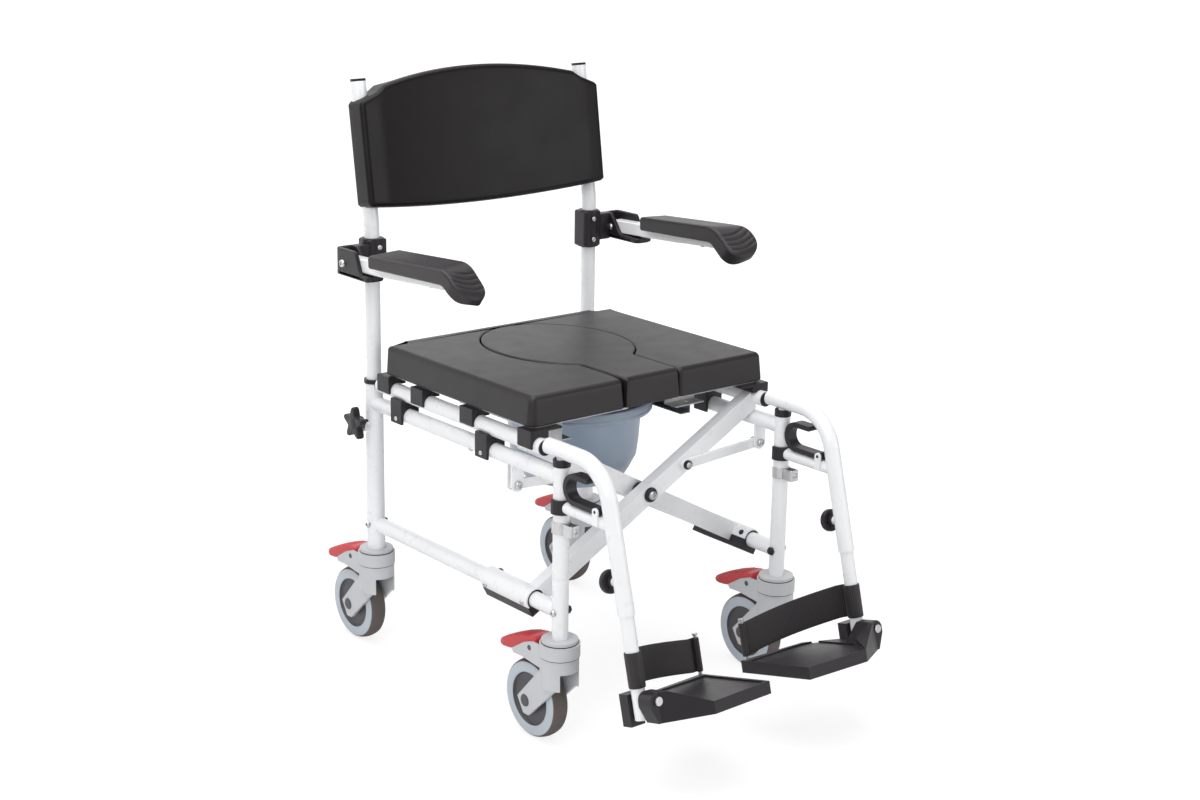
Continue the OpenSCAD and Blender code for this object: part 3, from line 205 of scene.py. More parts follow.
TREAD = grained("wheel_tread", srgb(92, 83, 80), 0.62, 500.0, 0.25, spread=0.09, mottling=40.0)
HUB = grained("wheel_hub", srgb(80, 79, 82), 0.45, 800.0, 0.12)
RED = grained("pedal_red_plastic", srgb(198, 58, 63), 0.4, 760.0, 0.14, spread=0.05)
STEEL = brushed_steel("zinc_steel")
PLATE = brushed_steel("holder_steel", 0.46, 0.42)
STRAP = webbing()


# Mesh tools

def collect(name, verts, faces, mats, indices=None, uvs=None):
    """Mesh in metres from points in millimetres."""
    mesh = bpy.data.meshes.new(name)
    mesh.from_pydata([tuple(Vector(p) * MM) for p in verts], [], faces)
    for m in mats:
        mesh.materials.append(m)
    if indices is not None:
        mesh.polygons.foreach_set("material_index", indices)
    if uvs is not None:
        layer = mesh.uv_layers.new(name="along")
        for loop in mesh.loops:
            layer.data[loop.index].uv = uvs[loop.vertex_index]
    mesh.validate()
    return mesh


def finish_mesh(mesh, sharp, outward=True):
    """Smooth shading, with hard edges above the sharp angle."""
    if outward:
        bm = bmesh.new()
        bm.from_mesh(mesh)
        bmesh.ops.recalc_face_normals(bm, faces=bm.faces)
        bm.to_mesh(mesh)
        bm.free()
    mesh.polygons.foreach_set("use_smooth", [True] * len(mesh.polygons))
    mesh.set_sharp_from_angle(angle=radians(sharp))
    mesh.update()


def place(name, mesh, body, slot, *nodes):
    """Links a mesh as a piece on its body, standing for the named CAD nodes."""
    piece = bpy.data.objects.new(name, mesh)
    scene.collection.objects.link(piece)
    weigh = piece.modifiers.new("even_normals", "WEIGHTED_NORMAL")
    weigh.keep_sharp = True
    weigh.weight = 80
    if body:
        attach(piece, body)
    if nodes:
        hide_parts(*nodes)
    return piece


def loft(rings, closed=True, caps=(True, True)):
    """Vertices and faces of a skin through rings of equal point counts."""
    n = len(rings[0])
    verts = [p for ring in rings for p in ring]
    faces = []
    span = n if closed else n - 1
    for i in range(len(rings) - 1):
        for k in range(span):
            a, b = i * n + k, i * n + (k + 1) % n
            faces.append((a, b, b + n, a + n))
    if caps[0]:
        faces.append(tuple(range(n - 1, -1, -1)))
    if caps[1]:
        faces.append(tuple(range((len(rings) - 1) * n, len(rings) * n)))
    return verts, faces


def lathe(profile, steps):
    """Turns (radius, height) points about the local Z axis; a zero radius closes on one point."""
    verts, faces, rows = [], [], []
    for r, h in profile:
        if r < 1e-6:
            rows.append([len(verts)])
            verts.append(Vector((0, 0, h)))
        else:
            start = len(verts)
            rows.append(list(range(start, start + steps)))
            for i in range(steps):
                a = 2 * pi * i / steps
                verts.append(Vector((r * cos(a), r * sin(a), h)))
    bands = []
    for j in range(len(rows) - 1):
        a, b = rows[j], rows[j + 1]
        for i in range(steps):
            k = (i + 1) % steps
            if len(a) == 1:
                faces.append((a[0], b[i], b[k]))
            elif len(b) == 1:
                faces.append((a[i], b[0], a[k]))
            else:
                faces.append((a[i], b[i], b[k], a[k]))
            bands.append(j)
    return verts, faces, bands


def arc(cx, cy, r, a0, a1, n):
    """Points on an arc between two angles in degrees."""
    angles = [radians(a0 + (a1 - a0) * i / n) for i in range(n + 1)]
    return [(cx + r * cos(a), cy + r * sin(a)) for a in angles]


def rect(x0, x1, y0, y1):
    return [(x0, y0), (x1, y0), (x1, y1), (x0, y1)]


def rounded(points, radii, steps):
    """Polygon with each corner replaced by an arc of its own radius."""
    out = []
    n = len(points)
    for i, p in enumerate(points):
        r = radii[i] if isinstance(radii, (list, tuple)) else radii
        a, b, c = Vector(points[i - 1]), Vector(p), Vector(points[(i + 1) % n])
        if r <= 0:
            out.append(tuple(b))
            continue
        u, w = (a - b).normalized(), (c - b).normalized()
        half = acos(max(-1.0, min(1.0, u.dot(w)))) / 2
        cut = r / tan(half)
        centre = b + (u + w).normalized() * (r / sin(half))
        start, end = b + u * cut, b + w * cut
        s, e = start - centre, end - centre
        turn = s.angle_signed(e) if s.length and e.length else 0.0
        for k in range(steps + 1):
            across, along = cos(-turn * k / steps), sin(-turn * k / steps)
            out.append(tuple(centre + Vector((s.x * across - s.y * along, s.x * along + s.y * across))))
    return out


def inset_normals(points):
    """Inward unit normal at each point of a counter-clockwise polygon, with the mitre's stretch."""
    n = len(points)
    out = []
    for i in range(n):
        a, b, c = Vector(points[i - 1]), Vector(points[i]), Vector(points[(i + 1) % n])
        d0, d1 = (b - a).normalized(), (c - b).normalized()
        n0, n1 = Vector((-d0.y, d0.x)), Vector((-d1.y, d1.x))
        m = n0 + n1
        m = m.normalized() if m.length > 1e-6 else n0
        out.append(m / max(0.5, m.dot(n0)))
    return out


class Kit:
    def __init__(self, at=None):
        self.at = at or Matrix.Identity(4)
        self.verts, self.faces, self.mats = [], [], []

    def add(self, shape, mat=0, at=None):
        at = self.at @ at if at else self.at
        base = len(self.verts)
        self.verts += [at @ Vector(v) for v in shape[0]]
        self.faces += [tuple(i + base for i in f) for f in shape[1]]
        self.mats += [mat] * len(shape[1])
        return self

    def place(self, name, body, slot, materials, *nodes, sharp=40.0):
        mesh = collect(name, self.verts, self.faces, materials, self.mats)
        finish_mesh(mesh, sharp)
        return place(name, mesh, body, slot, *nodes)


ALONG_X = Matrix(((0, 0, 1, 0), (1, 0, 0, 0), (0, 1, 0, 0), (0, 0, 0, 1)))
ALONG_Y = Matrix(((1, 0, 0, 0), (0, 0, -1, 0), (0, 1, 0, 0), (0, 0, 0, 1)))
FORWARD, BACKWARD, OUTWARD, INWARD, DOWN = (0, -1, 0), (0, 1, 0), (-1, 0, 0), (1, 0, 0), (0, 0, -1)


def aim(at, axis):
    """Frame at a point whose +Z runs along the axis."""
    return Matrix.Translation(Vector(at)) @ Vector(axis).to_track_quat("Z", "Y").to_matrix().to_4x4()


def flip(sx):
    """Drawn on the right side; the left side is its mirror image."""
    return Matrix.Scale(-1.0, 4, (1, 0, 0)) if sx < 0 else Matrix.Identity(4)


def button_head(r, h):
    """Low domed bolt head with a socket."""
    return lathe([(0.0, 0.4 * h), (0.36 * r, 0.4 * h), (0.42 * r, 0.96 * h), (0.58 * r, h), (0.84 * r, 0.76 * h),
                  (0.97 * r, 0.36 * h), (r, 0.0), (r, -0.5), (0.0, -0.5)], 28)


def dome(r, h):
    """Round cap."""
    return lathe([(0.0, h), (0.4 * r, 0.95 * h), (0.75 * r, 0.7 * h), (0.95 * r, 0.34 * h), (r, 0.0), (r, -0.5),
                  (0.0, -0.5)], 28)


def disc(r, h, edge):
    """Flat washer, collar or shank with a rounded rim."""
    return lathe([(0.0, h), (r - edge, h), (r - 0.3 * edge, h - 0.3 * edge), (r, h - edge), (r, edge),
                  (r - 0.3 * edge, 0.3 * edge), (r - edge, 0.0), (0.0, 0.0)], 40)


def wall(path, thick, low, high, r):
    """Standing strip along a plan path with rounded edges; low and high give its lower and upper z at each point."""
    rings = []
    n = len(path)
    for i, p in enumerate(path):
        a, b = Vector(path[max(0, i - 1)]), Vector(path[min(n - 1, i + 1)])
        d = (b - a).normalized()
        side = Vector((-d.y, d.x))
        shrink = 0.72 if i in (0, n - 1) else 1.0
        t = thick / 2 * shrink
        mid, half = (low[i] + high[i]) / 2, (high[i] - low[i]) / 2
        half = half - (1 - shrink) * thick / 2
        round_r = min(r, t * 0.9, half * 0.9)
        section = rounded(rect(-t, t, mid - half, mid + half), round_r, 3)
        rings.append([Vector((p[0] + side.x * u, p[1] + side.y * u, z)) for u, z in section])
    return loft(rings)


HARD_EDGE, SOFT_SHARP = radians(26.0), 50.0
WELD, FLAT = 2e-6, radians(0.6)


def soft_copy(name, node, body, slot, mats, width, pick=None, segments=2):
    """Stand-in for a CAD node with its flat faces joined and its hard edges rounded."""
    bm = bmesh.new()
    bm.from_mesh(NODES[node].data)
    bmesh.ops.remove_doubles(bm, verts=bm.verts, dist=WELD)
    bmesh.ops.dissolve_limit(bm, angle_limit=FLAT, verts=bm.verts, edges=bm.edges)
    hard = [e for e in bm.edges if len(e.link_faces) == 2 and e.calc_face_angle(0.0) > HARD_EDGE]
    bmesh.ops.bevel(bm, geom=hard, offset=width * MM, offset_type="OFFSET", segments=segments, profile=0.5,
                    affect="EDGES", clamp_overlap=True)
    bmesh.ops.recalc_face_normals(bm, faces=bm.faces)
    mesh = bpy.data.meshes.new(name)
    for m in mats:
        mesh.materials.append(m)
    for f in bm.faces:
        f.material_index = pick(f.calc_center_median() / MM) if pick else 0
    bm.to_mesh(mesh)
    bm.free()
    finish_mesh(mesh, SOFT_SHARP, outward=False)
    return place(name, mesh, body, slot, node)


def repaint(node, *mats, pick=None):
    """Gives a CAD node that stays in view its finished material."""
    mesh = NODES[node].data
    mesh.materials.clear()
    for m in mats:
        mesh.materials.append(m)
    for f in mesh.polygons:
        f.material_index = pick(f.center / MM) if pick else 0


# Tubes and rails keep the CAD shape

for side in SIDES:
    for node in ("rear_leg", "front_leg", "side_rail", "lower_rail"):
        repaint(f"{node}_{side}", WHITE)
repaint("back_posts", WHITE)
repaint("post_caps", CAP)


# Seat

SEAT_TOP = 538.0
SEAT_BOTTOM = 492.0
SEAT_REAR = REAR_Y - 37.0
SEAT_FRONT = SEAT_REAR - 405.0
SEAT_HALF = 237.0
HOLE_R, HOLE_LEN, NECK = 116.0, 143.0, 55.0
HOLE_Y = SEAT_REAR - 21.0 - HOLE_LEN
NOTCH = (37.0, 14.0)
FRONT_R = 9.0
SEAT_FOOT_R = 3.0
# Rounding of the top edge and lean of the side below it
HOLE_EDGE, REAR_EDGE, SIDE_EDGE = (4.5, 0.0), (7.0, 2.0), (9.5, 3.5)
INSERT_EDGE, INSERT_FRONT = (3.5, 0.0), (9.0, 4.0)


def bezier(a, b, c, n):
    a, b, c = Vector(a), Vector(b), Vector(c)
    return [tuple(a * (1 - t) ** 2 + b * 2 * t * (1 - t) + c * t * t) for t in [k / n for k in range(n + 1)]]


def keyhole(grow, blend):
    """The opening from the top of its neck's right side round the oval to the left side."""
    a, b, half = HOLE_R + grow, HOLE_LEN + grow, NECK + grow
    turn = acos(half / a)
    skip = blend / hypot(a * sin(turn), b * cos(turn))
    oval = [(a * cos(t), b * sin(t))
            for t in [-turn + skip + (pi + 2 * turn - 2 * skip) * i / 110 for i in range(111)]]
    corner = (half, -b * sin(turn))
    right = bezier((half, corner[1] - blend), corner, oval[0], 7)[:-1]
    points = right + oval + [(-x, y) for x, y in reversed(right)]
    return [(x, y + HOLE_Y) for x, y in points]


def dense(points, step):
    """Adds points on long runs, so the rounding along them stays even."""
    out = []
    for i, p in enumerate(points):
        a, b = Vector(p), Vector(points[(i + 1) % len(points)])
        n = max(1, int((b - a).length / step))
        out += [tuple(a.lerp(b, k / n)) for k in range(n)]
    return out


def even(values, times):
    """Evens out values along a closed line."""
    for turn in range(times):
        values = [(values[i - 1] + values[i] + values[(i + 1) % len(values)]) / 3 for i in range(len(values))]
    return values


def moulded_slab(outline, edge, slant, bottom, top, foot_r):
    """Closed slab: foot rounding, a side that leans in by slant, and a top rounding with a radius per point."""
    normals = inset_normals(outline)
    rings = []

    def ring(offset, z):
        return [Vector((p[0] + n.x * o, p[1] + n.y * o, zz))
                for p, n, o, zz in zip(outline, normals, offset, z)]
    count = len(outline)
    rings.append(ring([foot_r] * count, [bottom] * count))
    for k in range(1, 5):
        a = radians(90 * k / 4)
        rings.append(ring([foot_r * (1 - sin(a))] * count, [bottom + foot_r * (1 - cos(a))] * count))
    for k in range(0, 9):
        a = radians(90 * k / 8)
        rings.append(ring([s + r * (1 - cos(a)) for r, s in zip(edge, slant)],
                          [top - r * (1 - sin(a)) for r in edge]))
    return loft(rings)


def slab(outline, bottom, top, edge):
    """Slab with one rounding all round."""
    n = len(outline)
    return moulded_slab(outline, [edge] * n, [0.0] * n, bottom, top, edge)


def seat_outline():
    x, (nx, ny) = SEAT_HALF, NOTCH
    outer = rounded([(x, SEAT_FRONT), (x, SEAT_REAR - ny), (x - nx, SEAT_REAR - ny), (x - nx, SEAT_REAR),
                     (-x + nx, SEAT_REAR), (-x + nx, SEAT_REAR - ny), (-x, SEAT_REAR - ny), (-x, SEAT_FRONT)],
                    [14, 9, 4, 9, 9, 4, 9, 14], 8)
    left = arc(-NECK - FRONT_R, SEAT_FRONT + FRONT_R, FRONT_R, 270, 360, 6)
    right = arc(NECK + FRONT_R, SEAT_FRONT + FRONT_R, FRONT_R, 180, 270, 6)
    hole = list(reversed(keyhole(0.0, 9.0)))
    return outer + left + hole + right


outline = dense(seat_outline(), 9.0)
edges = []
for x, y in outline:
    oval = hypot(x / HOLE_R, (y - HOLE_Y) / HOLE_LEN)
    inside = oval < 1.03 or (abs(x) < NECK + 12 and SEAT_FRONT + 12 < y < HOLE_Y)
    edges.append(HOLE_EDGE if inside else REAR_EDGE if y > SEAT_REAR - 30 else SIDE_EDGE)
edge, slant = zip(*edges)
kit = Kit().add(moulded_slab(outline, even(edge, 3), even(slant, 3), SEAT_BOTTOM, SEAT_TOP, SEAT_FOOT_R))
seat = kit.place("seat_moulding", "seat", "moulded_foam", [FOAM], "seat_panel", sharp=60.0)

INSERT_FOOT, INSERT_TOP = SEAT_BOTTOM + 0.3, SEAT_TOP + 1.0
GAP = 1.5
outline = dense([(-NECK + GAP, SEAT_FRONT), (NECK - GAP, SEAT_FRONT)] + keyhole(-GAP, 11.0), 7.0)
edge, slant = zip(*[INSERT_FRONT if y < SEAT_FRONT + 0.5 else INSERT_EDGE for x, y in outline])
kit = Kit().add(moulded_slab(outline, even(edge, 2), even(slant, 2), INSERT_FOOT, INSERT_TOP, SEAT_FOOT_R))
insert = kit.place("seat_insert_moulding", "insert", "moulded_foam", [FOAM], "seat_insert", sharp=60.0)


# Backrest, drawn in the frame of the leaning posts

LEAN = radians(8.5)
LEAN_Y = REAR_Y + 160.0 * (1 - cos(LEAN))
LEAN_Z = 716.0 + 160.0 * sin(LEAN)
LEAN_FRAME = Matrix.Translation((0, LEAN_Y, LEAN_Z)) @ Matrix.Rotation(-LEAN, 4, "X")
PANEL = SimpleNamespace(half=241.5, low=4.0, h=226.0, side_t=46.0, ahead=7.5, mid_t=24.0, hollow=16.0, arch=24.0,
                        bow=12.0, edge=9.0, corner=8.0, shoulder=42.0)


def smoothstep(a, b, t):
    t = max(0.0, min(1.0, (t - a) / (b - a)))
    return t * t * (3 - 2 * t)


def quarter(t):
    """Height of a quarter circle that rises from 0 to 1."""
    return sqrt(max(0.0, 1 - (1 - min(1.0, max(0.0, t))) ** 2))


def panel_top(x):
    p = PANEL
    flat = p.half - p.shoulder
    r = (flat * flat + p.arch ** 2) / (2 * p.arch)
    arch = p.low + p.h - r + sqrt(max(0.0, r * r - min(x, p.half - 1) ** 2))
    slope = p.low + p.h - p.arch - 6 - 16.0 * max(0.0, x - flat) / p.shoulder
    return arch + (slope - arch) * smoothstep(flat - 8, flat + 6, x)


def panel_bottom(x):
    p = PANEL
    r = (p.half ** 2 + p.bow ** 2) / (2 * p.bow)
    return p.low + r - sqrt(r * r - x * x)


def panel_faces(x):
    """Front and back depth of the panel at a distance from the middle."""
    p = PANEL
    side_in = p.half - HALF_TRACK + 12.5 + 6
    span = HALF_TRACK - side_in / 2
    r = (span * span + p.hollow ** 2) / (2 * p.hollow)
    face = -p.ahead - p.side_t / 2
    front = p.hollow + face - r + sqrt(r * r - min(x, span) ** 2)
    back = front + p.mid_t
    rise = smoothstep(span - 46, span - 8, x)
    return front, back + (face + p.side_t - back) * rise


def panel_mesh():
    p = PANEL
    e = p.edge
    angles = [radians(90 * k / 5) for k in range(6)]
    steps = [e * (1 - cos(a)) for a in angles]
    columns = [-p.half + s for s in steps]
    inner_count = 58
    columns += [-p.half + e + (2 * p.half - 2 * e) * i / inner_count for i in range(1, inner_count)]
    columns += [p.half - s for s in reversed(steps)]
    rows = 26

    def fall(d):
        return e - sqrt(max(0.0, e * e - (e - min(d, e)) ** 2))
    front, back = [], []
    for x in columns:
        ax = abs(x)
        top, low = panel_top(ax), panel_bottom(ax)
        over = max(0.0, ax - (p.half - p.corner))
        tuck = p.corner - sqrt(max(0.0, p.corner ** 2 - over * over))
        top, low = top - tuck, low + tuck
        zs = [low + s for s in steps] + [low + e + (top - low - 2 * e) * i / rows for i in range(1, rows)]
        zs += [top - s for s in reversed(steps)]
        f, b = panel_faces(ax)
        for row, out in ((f, front), (b, back)):
            sign = 1 if out is front else -1
            line = []
            for z in zs:
                d = min(p.half - ax, z - low, top - z)
                line.append(Vector((x, row + sign * fall(max(0.0, d)), z)))
            out.append(line)
    nx, nz = len(columns), len(front[0])
    verts = [q for line in front for q in line] + [q for line in back for q in line]
    faces = []
    half = nx * nz
    for i in range(nx - 1):
        for j in range(nz - 1):
            a = i * nz + j
            faces.append((a, a + nz, a + nz + 1, a + 1))
            faces.append((half + a, half + a + 1, half + a + nz + 1, half + a + nz))
    for i in range(nx - 1):
        a, b = i * nz, (i + 1) * nz
        faces.append((a, half + a, half + b, b))
        a, b = a + nz - 1, b + nz - 1
        faces.append((a, b, half + b, half + a))
    for j in range(nz - 1):
        faces.append((j, j + 1, half + j + 1, half + j))
        a = (nx - 1) * nz + j
        faces.append((a, half + a, half + a + 1, a + 1))
    return verts, faces


kit = Kit(LEAN_FRAME).add(panel_mesh())
back = kit.place("backrest_moulding", "back", "moulded_foam", [SHELL], "backrest_panel", sharp=50.0)


# Armrests: pad, bar and clamp, drawn on the right and mirrored to the left

ARM_X = 276.0
PIVOT_Y = REAR_Y - 20.0
PIVOT_Z = 675.0
ARM_RISE = 2.5
ARM_FRAME = (Matrix.Translation((0, PIVOT_Y, PIVOT_Z)) @ Matrix.Rotation(radians(-ARM_RISE), 4, "X")
             @ Matrix.Translation((0, -PIVOT_Y, -PIVOT_Z)))
PAD_BOTTOM, PAD_T, PAD_W = 680.0, 26.0, 62.0
PAD_REAR = PIVOT_Y - 94.0
NOSE_Y = PAD_REAR - 166.0
NOSE_START = NOSE_Y - 14.0
NOSE_BEND, NOSE_TURN, NOSE_RUN, NOSE_SKEW = 36.0, radians(41), 44.0, 11.0
NOSE_ROUND, NOSE_DEPTH = 32.0, 15.0
PAD_LINE = PAD_REAR - NOSE_START + NOSE_BEND * NOSE_TURN + NOSE_RUN


def pad_point(run, x, up):
    """Point at a distance along the pad's bent middle line, to one side and above its underside."""
    flat = PAD_REAR - NOSE_START - NOSE_SKEW * x / (PAD_W / 2)
    turn = min(NOSE_TURN, max(0.0, (run - flat) / NOSE_BEND))
    rest = max(0.0, run - flat - NOSE_BEND * NOSE_TURN)
    y = PAD_REAR - min(run, flat) - NOSE_BEND * sin(turn) - rest * cos(turn)
    z = -NOSE_BEND * (1 - cos(turn)) - rest * sin(turn)
    up -= PAD_T / 2
    z += PAD_BOTTOM + PAD_T / 2
    return ARM_FRAME @ Vector((-ARM_X + x, y - up * sin(turn), z + up * cos(turn)))


def pad_mesh():
    bend, tip = PAD_REAR - NOSE_START - NOSE_SKEW, PAD_LINE - NOSE_ROUND
    stations = [0.0, 0.5, 1.4, 2.6, 3.8, 6.0] + [6 + (bend - 6) * k / 16 for k in range(1, 17)]
    stations += [bend + (tip - bend) * k / 40 for k in range(1, 41)]
    stations += [PAD_LINE - NOSE_ROUND * (1 - sin(radians(90 * k / 44))) for k in range(1, 45)]
    rings = []
    across = [k / 12 for k in range(13)]
    for run in stations:
        plan, deep = quarter((PAD_LINE - run) / NOSE_ROUND), quarter((PAD_LINE - run) / NOSE_DEPTH)
        trim = 2.6 * (1 - quarter(run / 3.5))
        half = PAD_W / 2 * (0.08 + 0.92 * plan) - trim
        high = PAD_T - 4.0 + 3.5 * min(1.0, run / bend)
        mid, tall = high / 2 + 2.5 * (1 - deep), high / 2 * (0.14 + 0.86 * deep) - trim
        corner = min(5.5, half * 0.8, tall * 0.8)
        foot = min(3.5, corner)
        section = arc(-half + foot, mid - tall + foot, foot, 180, 270, 4)
        section += arc(half - foot, mid - tall + foot, foot, 270, 360, 4)
        section += arc(half - corner, mid + tall - corner, corner, 0, 90, 5)
        section += [(half - corner - 2 * (half - corner) * t, mid + tall) for t in across[1:-1]]
        section += arc(-half + corner, mid + tall - corner, corner, 90, 180, 5)
        ring = []
        for x, up in section:
            if up > mid + tall * 0.4:
                share = min(1.0, abs(x) / half)
                back = PAD_LINE - run - 9.0 * share * share
                zone = smoothstep(9, 14, back) * (1 - smoothstep(50, 55, back)) * (1 - smoothstep(0.72, 0.9, share))
                up -= 1.7 * zone * max(0.0, cos(2 * pi * (back / 10.4 - 0.5))) ** 3
                up += 1.6 * (x / half) * deep
            ring.append(pad_point(run, x, up))
        rings.append(ring)
    return loft(rings)


def bar_mesh():
    """Flat bar with a round eye at the pivot, running under the pad to the start of its nose."""
    eye_r, half, end = 11.0, 10.0, NOSE_START
    shape = [(PIVOT_Y + eye_r * cos(a), PIVOT_Z - eye_r * sin(a), PIVOT_Z + eye_r * sin(a))
             for a in [radians(8 + 82 * k / 10) for k in range(11)]]
    stations = [PAD_REAR + 14, PAD_REAR + 10, PAD_REAR + 6, PAD_REAR + 2]
    for y in stations + [PAD_REAR - (PAD_REAR - end) * k / 14 for k in range(15)]:
        top = PIVOT_Z + eye_r - 6.3 * smoothstep(PAD_REAR + 14, PAD_REAR + 2, y)
        low = PIVOT_Z - eye_r + 2.7 * smoothstep(PAD_REAR, NOSE_Y, y)
        shape.append((y, top - (top - low) * (0.35 + 0.65 * quarter((y - end) / 10.0)), top))
    rings = []
    for y, low, high in shape:
        r = min(2.2, (high - low) * 0.4)
        rings.append([ARM_FRAME @ Vector((-ARM_X + x, y, z))
                      for x, z in rounded(rect(-half, half, low, high), r, 4)])
    return loft(rings)


BRACKET_HALF = 17.3


def clamp_kit(kit, s):
    """Clamp round the post with the forked bracket that carries the armrest bar."""
    kit.at = flip(s)
    mid_z, floor_z, lip_z, top_z = PIVOT_Z - 1, 655.0, 664.5, 699.0
    front, rear = REAR_Y - 19.0, REAR_Y + 19.0
    kit.add(slab(rounded(rect(-241, -205, front + 2, rear), 7.0, 6), mid_z - 31, mid_z + 31, 3.0))
    sleeve = [(0, 32.5), (16.5, 32.5), (18.4, 31.6), (19.0, 29.8)]
    kit.add(lathe(sleeve + [(r, -h) for r, h in reversed(sleeve)], 48), 0,
            Matrix.Translation((-HALF_TRACK + 1, REAR_Y, mid_z)))
    kit.add(slab(rounded(rect(-262, -238, REAR_Y - 17, REAR_Y + 2), 4.0, 4), 653.0, top_z, 2.5))
    for z in (mid_z - 18, mid_z + 18):
        kit.add(disc(6.2, 1.4, 0.5), 0, aim((-222, front + 1.2, z), FORWARD))
        kit.add(button_head(4.4, 2.2), 1, aim((-222, front + 0.4, z), FORWARD))
    inner, outer, bend = ARM_X - 13.8, ARM_X + 13.8, 5.0
    back = PIVOT_Y + 18.5
    plan = [(-inner, PIVOT_Y - 57 + 2.6 * k) for k in range(28)]
    plan += arc(-inner - bend, back - bend, bend, 0, 90, 6)[1:]
    plan += [(-inner - bend - (outer - inner - 2 * bend) * k / 6, back) for k in range(1, 7)]
    plan += arc(-outer + bend, back - bend, bend, 90, 180, 6)[1:]
    plan += [(-outer, back - bend - 2.6 * k) for k in range(1, 33)]
    high = []
    for x, y in plan:
        near, far = (PIVOT_Y - 52, PIVOT_Y - 32) if x < -ARM_X else (PIVOT_Y - 30, PIVOT_Y + 6)
        high.append(lip_z + (top_z - lip_z) * smoothstep(near, far, y))
    kit.add(wall(plan, 7.0, [floor_z] * len(plan), high, 2.2))
    tongue = rect(-outer - 3.5, -inner + 3.5, PIVOT_Y - 72, PIVOT_Y + 20)
    kit.add(slab(rounded(tongue, [11, 11, 5, 5], 6), floor_z, 663.4, 2.4))


clamps = Kit()
for side, s in SIDES.items():
    clamp_kit(clamps, s)
    body = f"arm_{side}"
    kit = Kit(flip(s)).add(pad_mesh())
    pad = kit.place(f"arm_grip_{side}", body, "pad_rubber", [RUBBER], f"arm_pad_{side}", sharp=50.0)
    Kit(flip(s)).add(bar_mesh()).place(f"arm_bar_{side}_soft", body, "frame_white", [WHITE], f"arm_bar_{side}")
    bolts = Kit(flip(s))
    bolts.add(button_head(6.6, 4.4), 0, aim((-ARM_X - BRACKET_HALF, PIVOT_Y, PIVOT_Z), OUTWARD))
    bolts.add(disc(3.8, 2 * BRACKET_HALF, 0.4), 0, aim((-ARM_X - BRACKET_HALF, PIVOT_Y, PIVOT_Z), INWARD))
    bolts.add(dome(5.6, 3.2), 0, aim((-ARM_X + BRACKET_HALF, PIVOT_Y, PIVOT_Z), INWARD))
    for y in (PAD_REAR - 62, PAD_REAR - 128):
        low = ARM_FRAME @ Vector((-ARM_X, y, PAD_BOTTOM - 14.2))
        bolts.add(button_head(4.2, 2.4), 0, aim(low, DOWN))
    bolts.place(f"arm_bolts_{side}", body, "steel", [STEEL])
clamps.place("armrest_clamp_blocks", "back", "black_plastic", [BLACK, STEEL], "armrest_clamps")


# Knobs

def star_outline(lobes, low, high, n):
    points = []
    for k in range(n):
        a = -2 * pi * k / n
        r = low + (high - low) * (0.5 + 0.5 * cos(lobes * a)) ** 1.25
        points.append((r * sin(a), r * cos(a)))
    return points


TUBE_PLACE = {s: flip(s) @ Matrix.Translation((-HALF_TRACK, 0, 0)) @ FOOT_FRAME for s in SIDES.values()}
STAR_KNOB = Matrix.Translation((-HALF_TRACK - 24.3, REAR_Y, 400.0)) @ ALONG_X
STAR_STEM = [(0, -7.5), (11.5, -7.5), (11.0, -2.0), (10.0, 0.0), (3.8, 0.0), (3.8, 15.0), (0, 15.0)]
STAR_CAP = [(0, -21.2), (8.0, -21.0), (10.5, -19.8), (11.0, -18.0), (0, -18.0)]
LENGTH_KNOB = Matrix.Translation((0, 16.8, 171.0)) @ Matrix.Rotation(radians(-90), 4, "X")
LENGTH_PROFILE = [(0, -6.0), (3.8, -6.0), (3.8, 0.0), (9.6, 0.0), (10.0, 0.4), (10.0, 5.0), (15.5, 5.0), (17.0, 5.6),
                  (17.8, 7.2), (17.8, 12.0), (17.0, 14.2), (15.0, 15.8), (11.0, 16.8), (0, 17.2)]
for side, s in SIDES.items():
    kit = Kit(flip(s) @ STAR_KNOB)
    kit.add(slab(star_outline(5, 15.5, 28.0, 120), -20.0, -7.0, 3.2))
    kit.add(lathe(STAR_STEM, 40)).add(lathe(STAR_CAP, 40))
    knob = f"star_knob_{side}"
    kit.place(f"{knob}_grip", knob, "black_plastic", [BLACK], knob)
    knob = f"length_knob_{side}"
    kit = Kit(TUBE_PLACE[s] @ LENGTH_KNOB).add(lathe(LENGTH_PROFILE, 56))
    kit.place(f"{knob}_grip", knob, "black_plastic", [BLACK], knob)


# Fittings with rounded edges

def local_pick(s, choose):
    """Picks a face's material by its middle in the footrest tube's own frame."""
    to_local = TUBE_PLACE[s].inverted()
    return lambda c: choose(to_local @ c)


def tube_part(q):
    """White tube, black stop block behind its foot, bright hinge bolt before it."""
    if q.z >= 9.0:
        return 0
    return 1 if q.y > 10.3 else 2 if q.y < -11.0 else 0


def plate_part(q):
    """Black plate with a bright heel pin."""
    return 1 if hypot(q.x - HEEL_PIN[0], q.y - HEEL_PIN[1]) < 5.2 and q.z > -13.5 else 0


def hanger_part(c):
    """White tube, black where it meets the front leg."""
    return 1 if c.y > -197.0 and 370 < c.z < 410 else 0


def black_part(name, node, body, width):
    soft_copy(name, node, body, "black_plastic", [BLACK], width)


